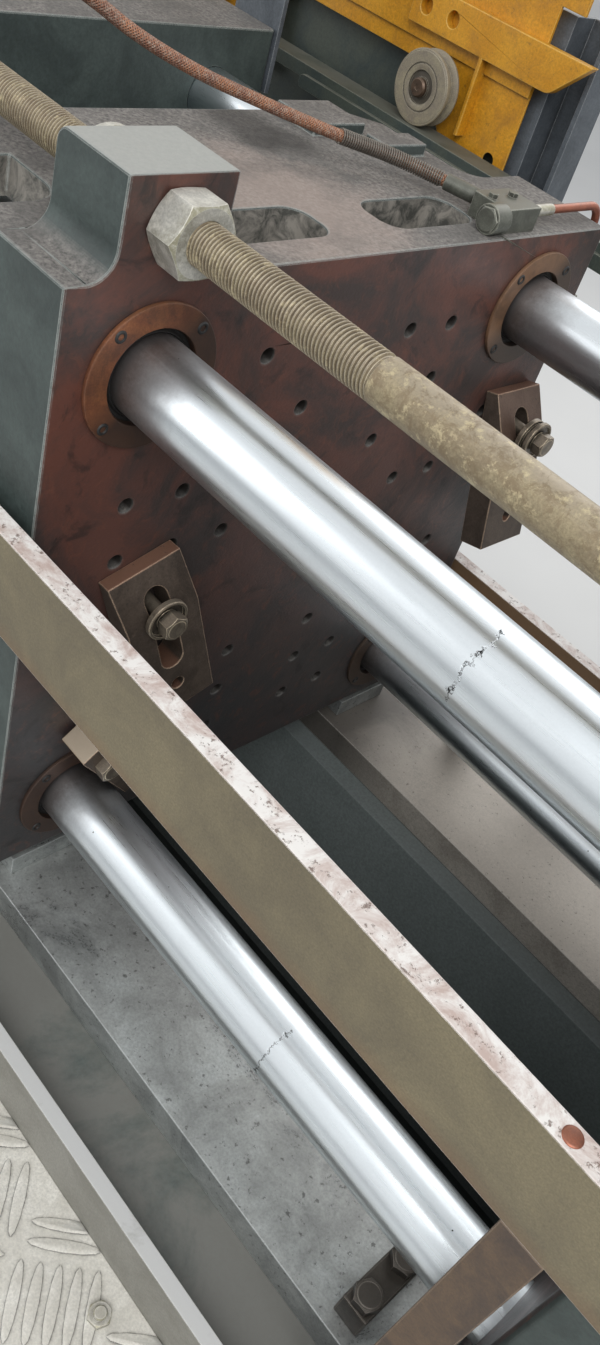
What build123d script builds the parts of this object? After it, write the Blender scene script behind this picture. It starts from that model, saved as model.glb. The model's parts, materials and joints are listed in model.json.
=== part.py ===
"""Clamping unit of an injection molding machine, from ground level up.

Four tie bars join a fixed platen to a rear platen that carries the clamp cylinder.
The moving platen slides on the bars and on guide shoes, with its safety rod, mould
clamps and lubrication line. A sliding guard gate runs on a rail along the rear side.
+X runs from the moving platen to the fixed platen, +Y to the rear side and +Z up.
The origin is on the floor, at the middle of the length and the width.
"""
import os
from math import cos, radians, sin, tan

from build123d import *

# Overall
OVERALL_LENGTH = 2530
HALF_WIDTH = 620
AXIS_HEIGHT = 1150
FACE_FROM_CLAMP_END = 1500

# Platens
PLATEN_WIDTH = 766
PLATEN_HEIGHT = 748
PLATEN_EDGE = 6
MOVING_DEPTH = 340
FIXED_DEPTH = 220
REAR_DEPTH = 200
DAYLIGHT = 725
REAR_GAP = 280
MOVING_PLATE = 145
BODY_WIDTH = 456
BODY_SLAB = 40
BODY_SLAB_WIDTH = 574
BODY_SLAB_ROUND = 34
BODY_CORNER_CUT = 40
PAD_HEIGHT = 14
REAR_PAD = ((-240, -205), (190, 264))
BACK_PAD = ((-335, -265), (130, 215))
NIPPLE_LUG = (-290, -236)
POCKET_LENGTH = 140
POCKET_WIDTH = 64
POCKET_DEPTH = 120
POCKET_OFFSET = 112
POCKET_WALL = 42
POCKET_RADIUS = 24

# Boss for the safety rod
BOSS_LENGTH = 97
BOSS_WIDTH = 110
BOSS_HEIGHT = 85
BOSS_ROUND = 14
BOSS_FILLET = 26
FIXED_BOSS_LENGTH = 120

# Tie bars
TIE_DIAMETER = 80
TIE_PITCH = 564
TIE_END = 15
TIE_CHAMFER = 3
TIE_PLATEN_CLEARANCE = 0.15
NUT_FLATS = 124
NUT_LENGTH = 70
NUT_CHAMFER = 7

# Bushings of the moving platen
RUNNING_CLEARANCE = 0.05
BUSHING_WALL = 10
BUSHING_LENGTH = 140
BUSHING_SEAT_CLEARANCE = 0.05
BUSHING_FLANGE_DIAMETER = 142
BUSHING_FLANGE = 5
BUSHING_RECESS_DEPTH = 16
BUSHING_RECESS_DIAMETER = 95

# Mould bolt holes
HOLE_PITCH = 70
HOLE_DIAMETER = 16.4
HOLE_DEPTH = 34
CENTRE_HOLE_DIAMETER = 26
LOCATING_DIAMETER = 125
LOCATING_DEPTH = 40
NOZZLE_DIAMETER = 60
NOZZLE_RECESS_DIAMETER = 240
NOZZLE_RECESS_DEPTH = 110

# Ram and clamp cylinder
RAM_DIAMETER = 260
RAM_LENGTH = 860
RAM_FLANGE_DIAMETER = 340
RAM_FLANGE = 40
GLAND_DIAMETER = 350
GLAND_LENGTH = 30
RAM_BARREL_CLEARANCE = 8
BARREL_DIAMETER = 460
BARREL_FLANGE_DIAMETER = 560
BARREL_FLANGE = 45
FLANGE_FIT = 0.1
CAP_DIAMETER = 500
CAP_LENGTH = 60

# Safety rod
ROD_DIAMETER = 38
ROD_HEIGHT = 44
ROD_BEHIND = 700
ROD_AHEAD = 1010
ROD_CLEARANCE = 0.6
ROD_NUT_FLATS = 60
ROD_NUT_LENGTH = 35
ROD_NUT_EDGE = 4
ROD_WASHER_DIAMETER = 74
ROD_WASHER = 7

# Bed
FOOT_HEIGHT = 60
FOOT_DIAMETER = 120
FOOT_STEM_DIAMETER = 40
FOOT_PAD = 22
FOOT_COUNT = 4
FOOT_INSET = 140
WAY_DROP = 420
WAY_THICKNESS = 47
WAY_INNER = 223
WAY_OUTER = 369
WAY_LENGTH = 1540
WAY_END_GAP = 25
LIP_INNER = 462
LIP_THICKNESS = 18
HOUSING_DROP = 522
TREAD_THICKNESS = 6
BED_END_CLAMP = 880
CHUTE_SHEET = 5
CHUTE_LEDGE = 34
CHUTE_FOOT = 300
CHUTE_INNER_FOOT = 120
STOP_FROM_FACE = 615
STOP_LENGTH = 34
STOP_WIDTH = 112
STOP_HEIGHT = 38

# Guide shoes
SHOE_WIDTH = 104
SHOE_THICKNESS = 30
SHOE_LENGTH = 300
SHOE_SETBACK = 4
SHOE_GAP = 0.3
PACKER_INSET = 12

# Front and rear guard beams
BEAM_THICKNESS = 22
BEAM_HEIGHT = 110
BEAM_CLEARANCE = 15
FRONT_BEAM_TOP = 151
REAR_BEAM_TOP = -148
BEAM_BEHIND = 640
BEAM_AHEAD = 900
POST_WIDTH = 40
FRONT_POST_FROM_FACE = (-560, 665, 850)
REAR_POST_FROM_FACE = (-560, 120, 850)

# Guard gate and its rail
RAIL_BEHIND = 1160
RAIL_AHEAD = 900
RAIL_END_ROUND = 9
RAIL_TOP = 322
RAIL_THICKNESS = 20
RAIL_INNER = 488
RAIL_OUTER = 534
RAIL_POST_FROM_FACE = (-1140, -400, 280)
RAIL_POST_FROM_FIXED_END = 190
RAIL_POST_WIDTH = 50
RAIL_POST_DEPTH = 24
STRIP_BEHIND = 649
STRIP_TOP = 310
STRIP_HEIGHT = 20
STRIP_THICKNESS = 8
PANEL_INNER = 545
PANEL_THICKNESS = 5
PANEL_BEHIND = 1080
PANEL_AHEAD = -280
PANEL_LOW = 415
PANEL_HIGH = 850
PANEL_SHOULDER = 40
PANEL_SHOULDER_LOW = 530
CARRIER_THICKNESS = 3
CARRIER_LOW = 262
CARRIER_EDGE = 390
CARRIER_HIGH = 460
CARRIER_BEHIND = 20
CARRIER_AHEAD = 148
CARRIER_CUT = (43, 50)
CARRIER_STEP = 305
CARRIER_HOLE = 20
CARRIER_HOLE_AT = (117, 318)
WINDOW_LOW = 560
WINDOW_HIGH = 760
WINDOW_MARGIN = 110
GATE_BAR_THICKNESS = 14
GATE_BAR_LOW = 434
GATE_BAR_HEIGHT = 52
GATE_BAR_BEHIND = 515
GATE_BAR_AHEAD = -190
GATE_BAR_BEVEL = 54
GATE_BAR_ROUND = 22
GATE_BAR_HOLE = 22
GATE_BAR_HOLES_AT = (-488, -435)
GATE_RIB_THICKNESS = 6
GATE_RIB_AT = -371
GATE_RIB_GAP = 8
ROLLER_RADIUS = 50
ROLLER_WIDTH = 28
ROLLER_GROOVE = 8
ROLLER_BORE = 16
ROLLER_RIM = 5
ROLLER_SIDE_GAP = 1
ROLLER_GAP = 0.3
ROLLER_AT = (-428, -940)
AXLE_CLEARANCE = 0.05
AXLE_COLLAR_RADIUS = 16
AXLE_HEAD_RADIUS = 13
AXLE_STAND_OUT = 7
UPRIGHT_FROM_FACE = -288
UPRIGHT_FROM_CLAMP_END = 320
UPRIGHT_FROM_FIXED_END = 210
UPRIGHT_LIP = 27
UPRIGHT_CHANNEL = 58
UPRIGHT_DEPTH = 50
UPRIGHT_WALL = 8
UPRIGHT_TOP = 525
UPRIGHT_GAP = 8
REAR_SHEET = 3
REAR_SHEET_BACK = 14
REAR_SHEET_TOP = 430

# Small bracket on the rear platen
BRACKET_WIDTH = 100
BRACKET_THICKNESS = 8
BRACKET_LOW = 289
BRACKET_HIGH = 540
BRACKET_FROM_FACE = -717
BRACKET_SLOT = 50
BRACKET_SLOT_WIDTH = 14

# Lubrication line
LUB_BLOCK_LENGTH = 50
LUB_BLOCK_WIDTH = 63
LUB_BLOCK_HEIGHT = 27
LUB_BLOCK_SETBACK = 10
LUB_BLOCK_AT = 181
LUB_UNION_RADIUS = 16
LUB_UNION_LENGTH = 24
LUB_UNION_INSET = 6
TUBE_RADIUS = 5
TUBE_BEND = 24
TUBE_REACH = 404
TUBE_DROP = 110
TUBE_FITTING = 34
HOSE_DIAMETER = 13
FERRULE_RADIUS = 9
FERRULE_LENGTH = 62
NIPPLE_LENGTH = 80
# Route of the hose: distance from the platen's face, from the middle, and over the axis
HOSE_ROUTE = [
    (-104, 184, 391), (-136, 169, 393), (-164, 136, 399), (-186, 82, 408), (-203, 28, 420),
    (-226, -32, 434), (-240, -85, 448), (-262, -145, 470), (-280, -183, 491), (-286, -228, 511),
    (-280, -273, 520), (-271, -315, 502), (-265, -341, 466), (-263, -350, 424),
]

# Mould clamps: slotted blocks, thin at one end, bolted to the moving platen
CLAMP_WIDTH = 90
CLAMP_LENGTH = 208
CLAMP_THIN = 18
CLAMP_BEND_AT = 58
CLAMP_BEND_THICKNESS = 37
CLAMP_THICK = 35
CLAMP_SLOT_WIDTH = 28
CLAMP_SLOT_START = 22
CLAMP_SLOT_END = 138
CLAMP_HOLE_AT = 168
CLAMP_HOLE_DIAMETER = 16
CLAMP_BOLT_DIAMETER = 16
CLAMP_BOLT_REACH = 26
CLAMP_WASHER_DIAMETER = 50
CLAMP_HEAD_FLATS = 27
CLAMP_HEAD = 15
HEEL_LENGTH = 120
HEEL_WIDTH = 31
HEEL_THICKNESS = 44
HEEL_OFF_FACE = 6
HEEL_HOLE_DIAMETER = 17
HEEL_HOLE_AT = 34
# Mould clamps. Each place is (name, Y and height of the thin end's middle, turn in the
# plane of the platen, lean away from the platen, bolt's distance from the thin end,
# thickness of its washers)
CLAMP_PLACES = (
    ("mould_clamp_front", -255, 65, 19, 6, 51, 7),
    ("mould_clamp_rear", 317, 171, 0, 15, 39, 18),
)
# Heel block: Y and height of its top end's middle, and its turn
HEEL_PLACE = (-302, -162, 39)

# Places worked out from the sizes above
FACE_X = FACE_FROM_CLAMP_END - OVERALL_LENGTH / 2
MACHINE_END = OVERALL_LENGTH / 2
HALF_PLATEN = PLATEN_WIDTH / 2
PLATEN_TOP = AXIS_HEIGHT + PLATEN_HEIGHT / 2
PLATEN_BOTTOM = AXIS_HEIGHT - PLATEN_HEIGHT / 2
MOVING_BACK = FACE_X - MOVING_DEPTH
FIXED_FACE = FACE_X + DAYLIGHT
FIXED_BACK = FIXED_FACE + FIXED_DEPTH
REAR_FACE = MOVING_BACK - REAR_GAP
REAR_BACK = REAR_FACE - REAR_DEPTH
WAY_TOP = AXIS_HEIGHT - WAY_DROP
BED_TOP = WAY_TOP - WAY_THICKNESS
HOUSING_TOP = AXIS_HEIGHT - HOUSING_DROP
HALF_TIE = TIE_PITCH / 2
TIE_PLACES = {
    "upper_front": (-HALF_TIE, AXIS_HEIGHT + HALF_TIE),
    "upper_rear": (HALF_TIE, AXIS_HEIGHT + HALF_TIE),
    "lower_front": (-HALF_TIE, AXIS_HEIGHT - HALF_TIE),
    "lower_rear": (HALF_TIE, AXIS_HEIGHT - HALF_TIE),
}
TIE_RADIUS = TIE_DIAMETER / 2
ROD_Y = -HALF_TIE
ROD_Z = PLATEN_TOP + ROD_HEIGHT
BEAM_INNER = HALF_PLATEN + BEAM_CLEARANCE
BARREL_END = -MACHINE_END + CAP_LENGTH
ROLLER_Z = AXIS_HEIGHT + RAIL_TOP + ROLLER_GAP + ROLLER_RADIUS
ROLLER_Y = (RAIL_INNER + RAIL_OUTER) / 2
CLAMP_BOLTS = [(y, height, turn, bolt_at) for _, y, height, turn, _, bolt_at, _ in CLAMP_PLACES]
HEEL_BOLT = (*HEEL_PLACE, HEEL_HOLE_AT)
HOLE_PLACES = [
    (side * column * HOLE_PITCH, level * row * HOLE_PITCH)
    for row, columns in ((4, (1, 2)), (3, (1, 2)), (2, (1, 3, 4)), (1, (2, 3, 4)))
    for column in columns
    for side in (-1, 1)
    for level in (-1, 1)
]


def block(x, y, z, mode=Mode.ADD):
    """Adds or cuts a box given by its low and high value along each axis."""
    with Locations(((x[0] + x[1]) / 2, (y[0] + y[1]) / 2, (z[0] + z[1]) / 2)):
        Box(x[1] - x[0], y[1] - y[0], z[1] - z[0], mode=mode)


def round_x(x, y, z, radius, mode=Mode.ADD):
    """Adds or cuts a round bar along X between two X values."""
    with Locations(Location(((x[0] + x[1]) / 2, y, z), (0, 90, 0))):
        Cylinder(radius, x[1] - x[0], mode=mode)


def round_y(x, y, z, radius, mode=Mode.ADD):
    """Adds or cuts a round bar along Y between two Y values."""
    with Locations(Location((x, (y[0] + y[1]) / 2, z), (90, 0, 0))):
        Cylinder(radius, y[1] - y[0], mode=mode)


def round_z(x, y, z, radius, mode=Mode.ADD):
    """Adds or cuts a round bar along Z between two Z values."""
    with Locations((x, y, (z[0] + z[1]) / 2)):
        Cylinder(radius, z[1] - z[0], mode=mode)


def hexagon_x(x, y, z, flats, edge=0):
    """Adds a hexagonal bar along X, with a flat on top and its corners turned down."""
    with BuildSketch(Plane((x[0], y, z), x_dir=(0, 1, 0), z_dir=(1, 0, 0))) as outline:
        RegularPolygon(flats / 2, 6, major_radius=False, rotation=30)
    extrude(outline.sketch, amount=x[1] - x[0])
    corner = flats / 2 / cos(radians(30))
    if edge:
        with BuildSketch(Plane((0, y, z), x_dir=(1, 0, 0), z_dir=(0, -1, 0))) as profile:
            with BuildLine():
                Polyline(
                    (x[0], corner - edge), (x[0], corner + edge), (x[1], corner + edge),
                    (x[1], corner - edge), (x[1] - edge / 2, corner), (x[0] + edge / 2, corner),
                    close=True,
                )
            make_face()
        revolve(profile.sketch, axis=Axis((0, y, z), (1, 0, 0)), mode=Mode.SUBTRACT)


def rod_boss(x):
    """Adds a boss for the safety rod, flared out at its foot on the platen's top."""
    low, high = ROD_Y - BOSS_WIDTH / 2, ROD_Y + BOSS_WIDTH / 2
    flare_top = PLATEN_TOP + BOSS_FILLET
    boss_top = PLATEN_TOP + BOSS_HEIGHT
    with BuildSketch(Plane((x[0], 0, 0), x_dir=(0, 1, 0), z_dir=(1, 0, 0))) as outline:
        with BuildLine():
            CenterArc((low - BOSS_FILLET, flare_top), BOSS_FILLET, -90, 90)
            Polyline((low, flare_top), (low, boss_top), (high, boss_top), (high, flare_top))
            CenterArc((high + BOSS_FILLET, flare_top), BOSS_FILLET, 180, 90)
            Line((high + BOSS_FILLET, PLATEN_TOP), (low - BOSS_FILLET, PLATEN_TOP))
        make_face()
    extrude(outline.sketch, amount=x[1] - x[0])
    round_x(x, ROD_Y, ROD_Z, ROD_DIAMETER / 2 + ROD_CLEARANCE, Mode.SUBTRACT)


def mirror_y(span):
    """Gives a Y span its place on the other side."""
    return (-span[1], -span[0])


def clamp_plane(y, height, turn, lean=0):
    """Plane on the platen: X down along the clamp, Y across it, Z away from the platen."""
    along = Vector(sin(radians(lean)), 0, -cos(radians(lean))).rotate(Axis.X, turn)
    across = Vector(0, 1, 0).rotate(Axis.X, turn)
    outward = along.cross(across)
    return Plane((FACE_X, y, AXIS_HEIGHT + height), x_dir=along, z_dir=outward)


def bolt_place(y, height, turn, distance):
    """Y and Z of a bolt that sits a distance down along a clamp."""
    down = distance * cos(radians(turn))
    return (y + distance * sin(radians(turn)), AXIS_HEIGHT + height - down)


os.makedirs("parts", exist_ok=True)

# Bed
front_bed_x = (-MACHINE_END, MACHINE_END)
way_x = (FIXED_FACE - WAY_END_GAP - WAY_LENGTH, FIXED_FACE - WAY_END_GAP)
chute_x = (-MACHINE_END + BED_END_CLAMP, FIXED_FACE)

with BuildPart() as bed_front:
    block(front_bed_x, (-LIP_INNER, -WAY_INNER), (FOOT_HEIGHT, BED_TOP))
    block(front_bed_x, (-HALF_WIDTH, -LIP_INNER), (FOOT_HEIGHT, HOUSING_TOP))
bed_front.part.label = "bed_front"
export_step(bed_front.part, "parts/bed_front.step")

with BuildPart() as bed_rear:
    block(front_bed_x, (WAY_INNER, LIP_INNER), (FOOT_HEIGHT, BED_TOP))
    block(front_bed_x, (LIP_INNER, HALF_WIDTH), (FOOT_HEIGHT, HOUSING_TOP))
bed_rear.part.label = "bed_rear"
export_step(bed_rear.part, "parts/bed_rear.step")

with BuildPart() as bed_clamp_end:
    block((-MACHINE_END, chute_x[0]), (-WAY_INNER, WAY_INNER), (FOOT_HEIGHT, BED_TOP))
bed_clamp_end.part.label = "bed_clamp_end"
export_step(bed_clamp_end.part, "parts/bed_clamp_end.step")

with BuildPart() as bed_fixed_end:
    block((chute_x[1], MACHINE_END), (-WAY_INNER, WAY_INNER), (FOOT_HEIGHT, BED_TOP))
bed_fixed_end.part.label = "bed_fixed_end"
export_step(bed_fixed_end.part, "parts/bed_fixed_end.step")

with BuildPart() as front_way_plate:
    block(way_x, (-WAY_OUTER, -WAY_INNER), (BED_TOP, WAY_TOP))
front_way_plate.part.label = "front_way_plate"
export_step(front_way_plate.part, "parts/front_way_plate.step")

with BuildPart() as rear_way_plate:
    block(way_x, (WAY_INNER, WAY_OUTER), (BED_TOP, WAY_TOP))
rear_way_plate.part.label = "rear_way_plate"
export_step(rear_way_plate.part, "parts/rear_way_plate.step")

stop_x = (FACE_X + STOP_FROM_FACE, FACE_X + STOP_FROM_FACE + STOP_LENGTH)
way_middle = (WAY_INNER + WAY_OUTER) / 2
with BuildPart() as way_stops:
    for side in (-1, 1):
        middle = side * way_middle
        span = (middle - STOP_WIDTH / 2, middle + STOP_WIDTH / 2)
        block(stop_x, span, (WAY_TOP, WAY_TOP + STOP_HEIGHT))
way_stops.part.label = "way_stops"
export_step(way_stops.part, "parts/way_stops.step")

lip_y = (LIP_INNER, LIP_INNER + LIP_THICKNESS)
with BuildPart() as lip_bars:
    block(front_bed_x, mirror_y(lip_y), (HOUSING_TOP, WAY_TOP))
    block(front_bed_x, lip_y, (HOUSING_TOP, WAY_TOP))
lip_bars.part.label = "lip_bars"
export_step(lip_bars.part, "parts/lip_bars.step")

tread_y = (-HALF_WIDTH, -LIP_INNER - LIP_THICKNESS)
with BuildPart() as tread_plate:
    block(front_bed_x, tread_y, (HOUSING_TOP, HOUSING_TOP + TREAD_THICKNESS))
tread_plate.part.label = "tread_plate"
export_step(tread_plate.part, "parts/tread_plate.step")

# Chute: two sloping sheets hung on ledges between the bed sides
for side, name in ((-1, "chute_front_sheet"), (1, "chute_rear_sheet")):
    with BuildPart() as chute_sheet:
        with BuildSketch(Plane((chute_x[0], 0, 0), x_dir=(0, 1, 0), z_dir=(1, 0, 0))):
            with BuildLine():
                Polyline(
                    (side * WAY_INNER, BED_TOP),
                    (side * (WAY_INNER - CHUTE_LEDGE), BED_TOP),
                    (side * CHUTE_INNER_FOOT, CHUTE_FOOT),
                    (side * (CHUTE_INNER_FOOT + CHUTE_SHEET), CHUTE_FOOT),
                    (side * (WAY_INNER - CHUTE_LEDGE + CHUTE_SHEET), BED_TOP - CHUTE_SHEET),
                    (side * WAY_INNER, BED_TOP - CHUTE_SHEET),
                    close=True,
                )
            make_face()
        extrude(amount=chute_x[1] - chute_x[0])
    chute_sheet.part.label = name
    export_step(chute_sheet.part, f"parts/{name}.step")

# Levelling feet under both bed sides
foot_y = (LIP_INNER + WAY_INNER) / 2
foot_step = (OVERALL_LENGTH - 2 * FOOT_INSET) / (FOOT_COUNT - 1)
with BuildPart() as levelling_feet:
    for number in range(FOOT_COUNT):
        foot_x = -MACHINE_END + FOOT_INSET + number * foot_step
        for side in (-1, 1):
            round_z(foot_x, side * foot_y, (0, FOOT_PAD), FOOT_DIAMETER / 2)
            round_z(foot_x, side * foot_y, (FOOT_PAD, FOOT_HEIGHT), FOOT_STEM_DIAMETER / 2)
levelling_feet.part.label = "levelling_feet"
export_step(levelling_feet.part, "parts/levelling_feet.step")

# Fixed platen, with the mould holes, the locating bore and a cone for the nozzle
with BuildPart() as fixed_platen:
    block((FIXED_FACE, FIXED_BACK), (-HALF_PLATEN, HALF_PLATEN), (BED_TOP, PLATEN_TOP))
    chamfer(fixed_platen.edges().filter_by(Axis.Z), PLATEN_EDGE)
    for place in TIE_PLACES.values():
        round_x((FIXED_FACE, FIXED_BACK), *place, TIE_RADIUS + TIE_PLATEN_CLEARANCE, Mode.SUBTRACT)
    for hole_y, hole_z in HOLE_PLACES:
        hole_x = (FIXED_FACE, FIXED_FACE + HOLE_DEPTH)
        round_x(hole_x, hole_y, AXIS_HEIGHT + hole_z, HOLE_DIAMETER / 2, Mode.SUBTRACT)
    bore_x = (FIXED_FACE, FIXED_FACE + LOCATING_DEPTH)
    round_x(bore_x, 0, AXIS_HEIGHT, LOCATING_DIAMETER / 2, Mode.SUBTRACT)
    round_x((FIXED_FACE, FIXED_BACK), 0, AXIS_HEIGHT, NOZZLE_DIAMETER / 2, Mode.SUBTRACT)
    recess_middle = FIXED_BACK - NOZZLE_RECESS_DEPTH / 2
    with Locations(Location((recess_middle, 0, AXIS_HEIGHT), (0, 90, 0))):
        Cone(
            NOZZLE_DIAMETER / 2, NOZZLE_RECESS_DIAMETER / 2, NOZZLE_RECESS_DEPTH,
            mode=Mode.SUBTRACT,
        )
fixed_platen.part.label = "fixed_platen"
export_step(fixed_platen.part, "parts/fixed_platen.step")

with BuildPart() as fixed_rod_boss:
    rod_boss((FIXED_BACK - FIXED_BOSS_LENGTH, FIXED_BACK))
fixed_rod_boss.part.label = "fixed_rod_boss"
export_step(fixed_rod_boss.part, "parts/fixed_rod_boss.step")

# Rear platen, which stands on the way plates and carries the clamp cylinder
with BuildPart() as rear_platen:
    block((REAR_BACK, REAR_FACE), (-HALF_PLATEN, HALF_PLATEN), (WAY_TOP, PLATEN_TOP))
    chamfer(rear_platen.edges().filter_by(Axis.Z), PLATEN_EDGE)
    for place in TIE_PLACES.values():
        round_x((REAR_BACK, REAR_FACE), *place, TIE_RADIUS + TIE_PLATEN_CLEARANCE, Mode.SUBTRACT)
    ram_bore = RAM_DIAMETER / 2 + RUNNING_CLEARANCE
    round_x((REAR_BACK, REAR_FACE), 0, AXIS_HEIGHT, ram_bore, Mode.SUBTRACT)
rear_platen.part.label = "rear_platen"
export_step(rear_platen.part, "parts/rear_platen.step")

with BuildPart() as ram_gland:
    gland_x = (REAR_FACE, REAR_FACE + GLAND_LENGTH)
    round_x(gland_x, 0, AXIS_HEIGHT, GLAND_DIAMETER / 2)
    round_x(gland_x, 0, AXIS_HEIGHT, ram_bore, Mode.SUBTRACT)
ram_gland.part.label = "ram_gland"
export_step(ram_gland.part, "parts/ram_gland.step")

with BuildPart() as clamp_cylinder:
    round_x((BARREL_END, REAR_BACK), 0, AXIS_HEIGHT, BARREL_DIAMETER / 2)
    inner_radius = RAM_DIAMETER / 2 + RAM_BARREL_CLEARANCE
    round_x((BARREL_END, REAR_BACK), 0, AXIS_HEIGHT, inner_radius, Mode.SUBTRACT)
clamp_cylinder.part.label = "clamp_cylinder"
export_step(clamp_cylinder.part, "parts/clamp_cylinder.step")

with BuildPart() as cylinder_flange:
    flange_x = (REAR_BACK - BARREL_FLANGE, REAR_BACK)
    round_x(flange_x, 0, AXIS_HEIGHT, BARREL_FLANGE_DIAMETER / 2)
    round_x(flange_x, 0, AXIS_HEIGHT, BARREL_DIAMETER / 2 + FLANGE_FIT, Mode.SUBTRACT)
cylinder_flange.part.label = "cylinder_flange"
export_step(cylinder_flange.part, "parts/cylinder_flange.step")

with BuildPart() as cylinder_end_cap:
    round_x((-MACHINE_END, BARREL_END), 0, AXIS_HEIGHT, CAP_DIAMETER / 2)
cylinder_end_cap.part.label = "cylinder_end_cap"
export_step(cylinder_end_cap.part, "parts/cylinder_end_cap.step")

# Tie bars and their nuts
tie_x = (REAR_BACK - NUT_LENGTH - TIE_END, FIXED_BACK + NUT_LENGTH + TIE_END)
for place_name, place in TIE_PLACES.items():
    with BuildPart() as tie_bar:
        round_x(tie_x, *place, TIE_RADIUS)
        chamfer(tie_bar.edges().filter_by(GeomType.CIRCLE), TIE_CHAMFER)
    tie_bar.part.label = f"tie_bar_{place_name}"
    export_step(tie_bar.part, f"parts/tie_bar_{place_name}.step")

with BuildPart() as tie_nuts:
    for nut_x in ((FIXED_BACK, FIXED_BACK + NUT_LENGTH), (REAR_BACK - NUT_LENGTH, REAR_BACK)):
        for place in TIE_PLACES.values():
            hexagon_x(nut_x, *place, NUT_FLATS, NUT_CHAMFER)
        for place in TIE_PLACES.values():
            round_x(nut_x, *place, TIE_RADIUS + TIE_PLATEN_CLEARANCE, Mode.SUBTRACT)
tie_nuts.part.label = "tie_nuts"
export_step(tie_nuts.part, "parts/tie_nuts.step")

# Guard beams along both sides, with their posts
beam_x = (FACE_X - BEAM_BEHIND, FACE_X + BEAM_AHEAD)
front_beam_y = (-BEAM_INNER - BEAM_THICKNESS, -BEAM_INNER)
front_beam_top = AXIS_HEIGHT + FRONT_BEAM_TOP
rear_beam_top = AXIS_HEIGHT + REAR_BEAM_TOP
with BuildPart() as front_guard_beam:
    block(beam_x, front_beam_y, (front_beam_top - BEAM_HEIGHT, front_beam_top))
front_guard_beam.part.label = "front_guard_beam"
export_step(front_guard_beam.part, "parts/front_guard_beam.step")

with BuildPart() as front_beam_posts:
    for post_at in FRONT_POST_FROM_FACE:
        post_x = (FACE_X + post_at, FACE_X + post_at + POST_WIDTH)
        block(post_x, front_beam_y, (BED_TOP, front_beam_top - BEAM_HEIGHT))
front_beam_posts.part.label = "front_beam_posts"
export_step(front_beam_posts.part, "parts/front_beam_posts.step")

with BuildPart() as rear_guard_beam:
    block(beam_x, mirror_y(front_beam_y), (rear_beam_top - BEAM_HEIGHT, rear_beam_top))
rear_guard_beam.part.label = "rear_guard_beam"
export_step(rear_guard_beam.part, "parts/rear_guard_beam.step")

with BuildPart() as rear_beam_posts:
    for post_at in REAR_POST_FROM_FACE:
        post_x = (FACE_X + post_at, FACE_X + post_at + POST_WIDTH)
        block(post_x, mirror_y(front_beam_y), (BED_TOP, rear_beam_top - BEAM_HEIGHT))
rear_beam_posts.part.label = "rear_beam_posts"
export_step(rear_beam_posts.part, "parts/rear_beam_posts.step")

# Rail of the guard gate
rail_top = AXIS_HEIGHT + RAIL_TOP
rail_x = (FACE_X - RAIL_BEHIND, FACE_X + RAIL_AHEAD)
with BuildPart() as gate_rail:
    block(rail_x, (RAIL_INNER, RAIL_OUTER), (rail_top - RAIL_THICKNESS, rail_top))
gate_rail.part.label = "gate_rail"
export_step(gate_rail.part, "parts/gate_rail.step")

strip_x = (FACE_X - STRIP_BEHIND, FACE_X + RAIL_AHEAD)
strip_top = AXIS_HEIGHT + STRIP_TOP
with BuildPart() as rail_strip:
    block(strip_x, (RAIL_INNER - STRIP_THICKNESS, RAIL_INNER), (strip_top - STRIP_HEIGHT, strip_top))
    strip_end = rail_strip.edges().filter_by(Axis.Y).group_by(Axis.X)[0]
    fillet(strip_end, RAIL_END_ROUND)
rail_strip.part.label = "rail_strip"
export_step(rail_strip.part, "parts/rail_strip.step")

rail_post_y = (RAIL_OUTER - RAIL_POST_DEPTH, RAIL_OUTER)
rail_post_starts = [FACE_X + post_at for post_at in RAIL_POST_FROM_FACE]
rail_post_starts.append(MACHINE_END - RAIL_POST_FROM_FIXED_END)
with BuildPart() as rail_posts:
    for post_start in rail_post_starts:
        post_x = (post_start, post_start + RAIL_POST_WIDTH)
        block(post_x, rail_post_y, (HOUSING_TOP, rail_top - RAIL_THICKNESS))
rail_posts.part.label = "rail_posts"
export_step(rail_posts.part, "parts/rail_posts.step")

# Uprights behind the gate, each a lip and a channel that is open towards the machine
upright_y = PANEL_INNER + PANEL_THICKNESS + CARRIER_THICKNESS + UPRIGHT_GAP
upright_starts = (
    -MACHINE_END + UPRIGHT_FROM_CLAMP_END,
    FACE_X + UPRIGHT_FROM_FACE,
    MACHINE_END - UPRIGHT_FROM_FIXED_END,
)
with BuildPart() as rear_uprights:
    for lip_x in upright_starts:
        channel_x = lip_x + UPRIGHT_LIP
        channel_end = channel_x + UPRIGHT_CHANNEL
        upright_z = (HOUSING_TOP, AXIS_HEIGHT + UPRIGHT_TOP)
        channel_y = (upright_y, upright_y + UPRIGHT_DEPTH)
        block((lip_x, channel_x), (upright_y, upright_y + UPRIGHT_WALL), upright_z)
        block((channel_x - UPRIGHT_WALL, channel_x), channel_y, upright_z)
        block((channel_x, channel_end), (channel_y[1] - UPRIGHT_WALL, channel_y[1]), upright_z)
        block((channel_end - UPRIGHT_WALL, channel_end), channel_y, upright_z)
rear_uprights.part.label = "rear_uprights"
export_step(rear_uprights.part, "parts/rear_uprights.step")

# Fixed sheet between the first two uprights, behind the gate's lower edge
sheet_x = (
    upright_starts[0] + UPRIGHT_LIP + UPRIGHT_CHANNEL,
    upright_starts[1] + UPRIGHT_LIP - UPRIGHT_WALL,
)
sheet_y = (upright_y + REAR_SHEET_BACK, upright_y + REAR_SHEET_BACK + REAR_SHEET)
with BuildPart() as rear_sheet:
    block(sheet_x, sheet_y, (HOUSING_TOP, AXIS_HEIGHT + REAR_SHEET_TOP))
rear_sheet.part.label = "rear_sheet"
export_step(rear_sheet.part, "parts/rear_sheet.step")

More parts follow.
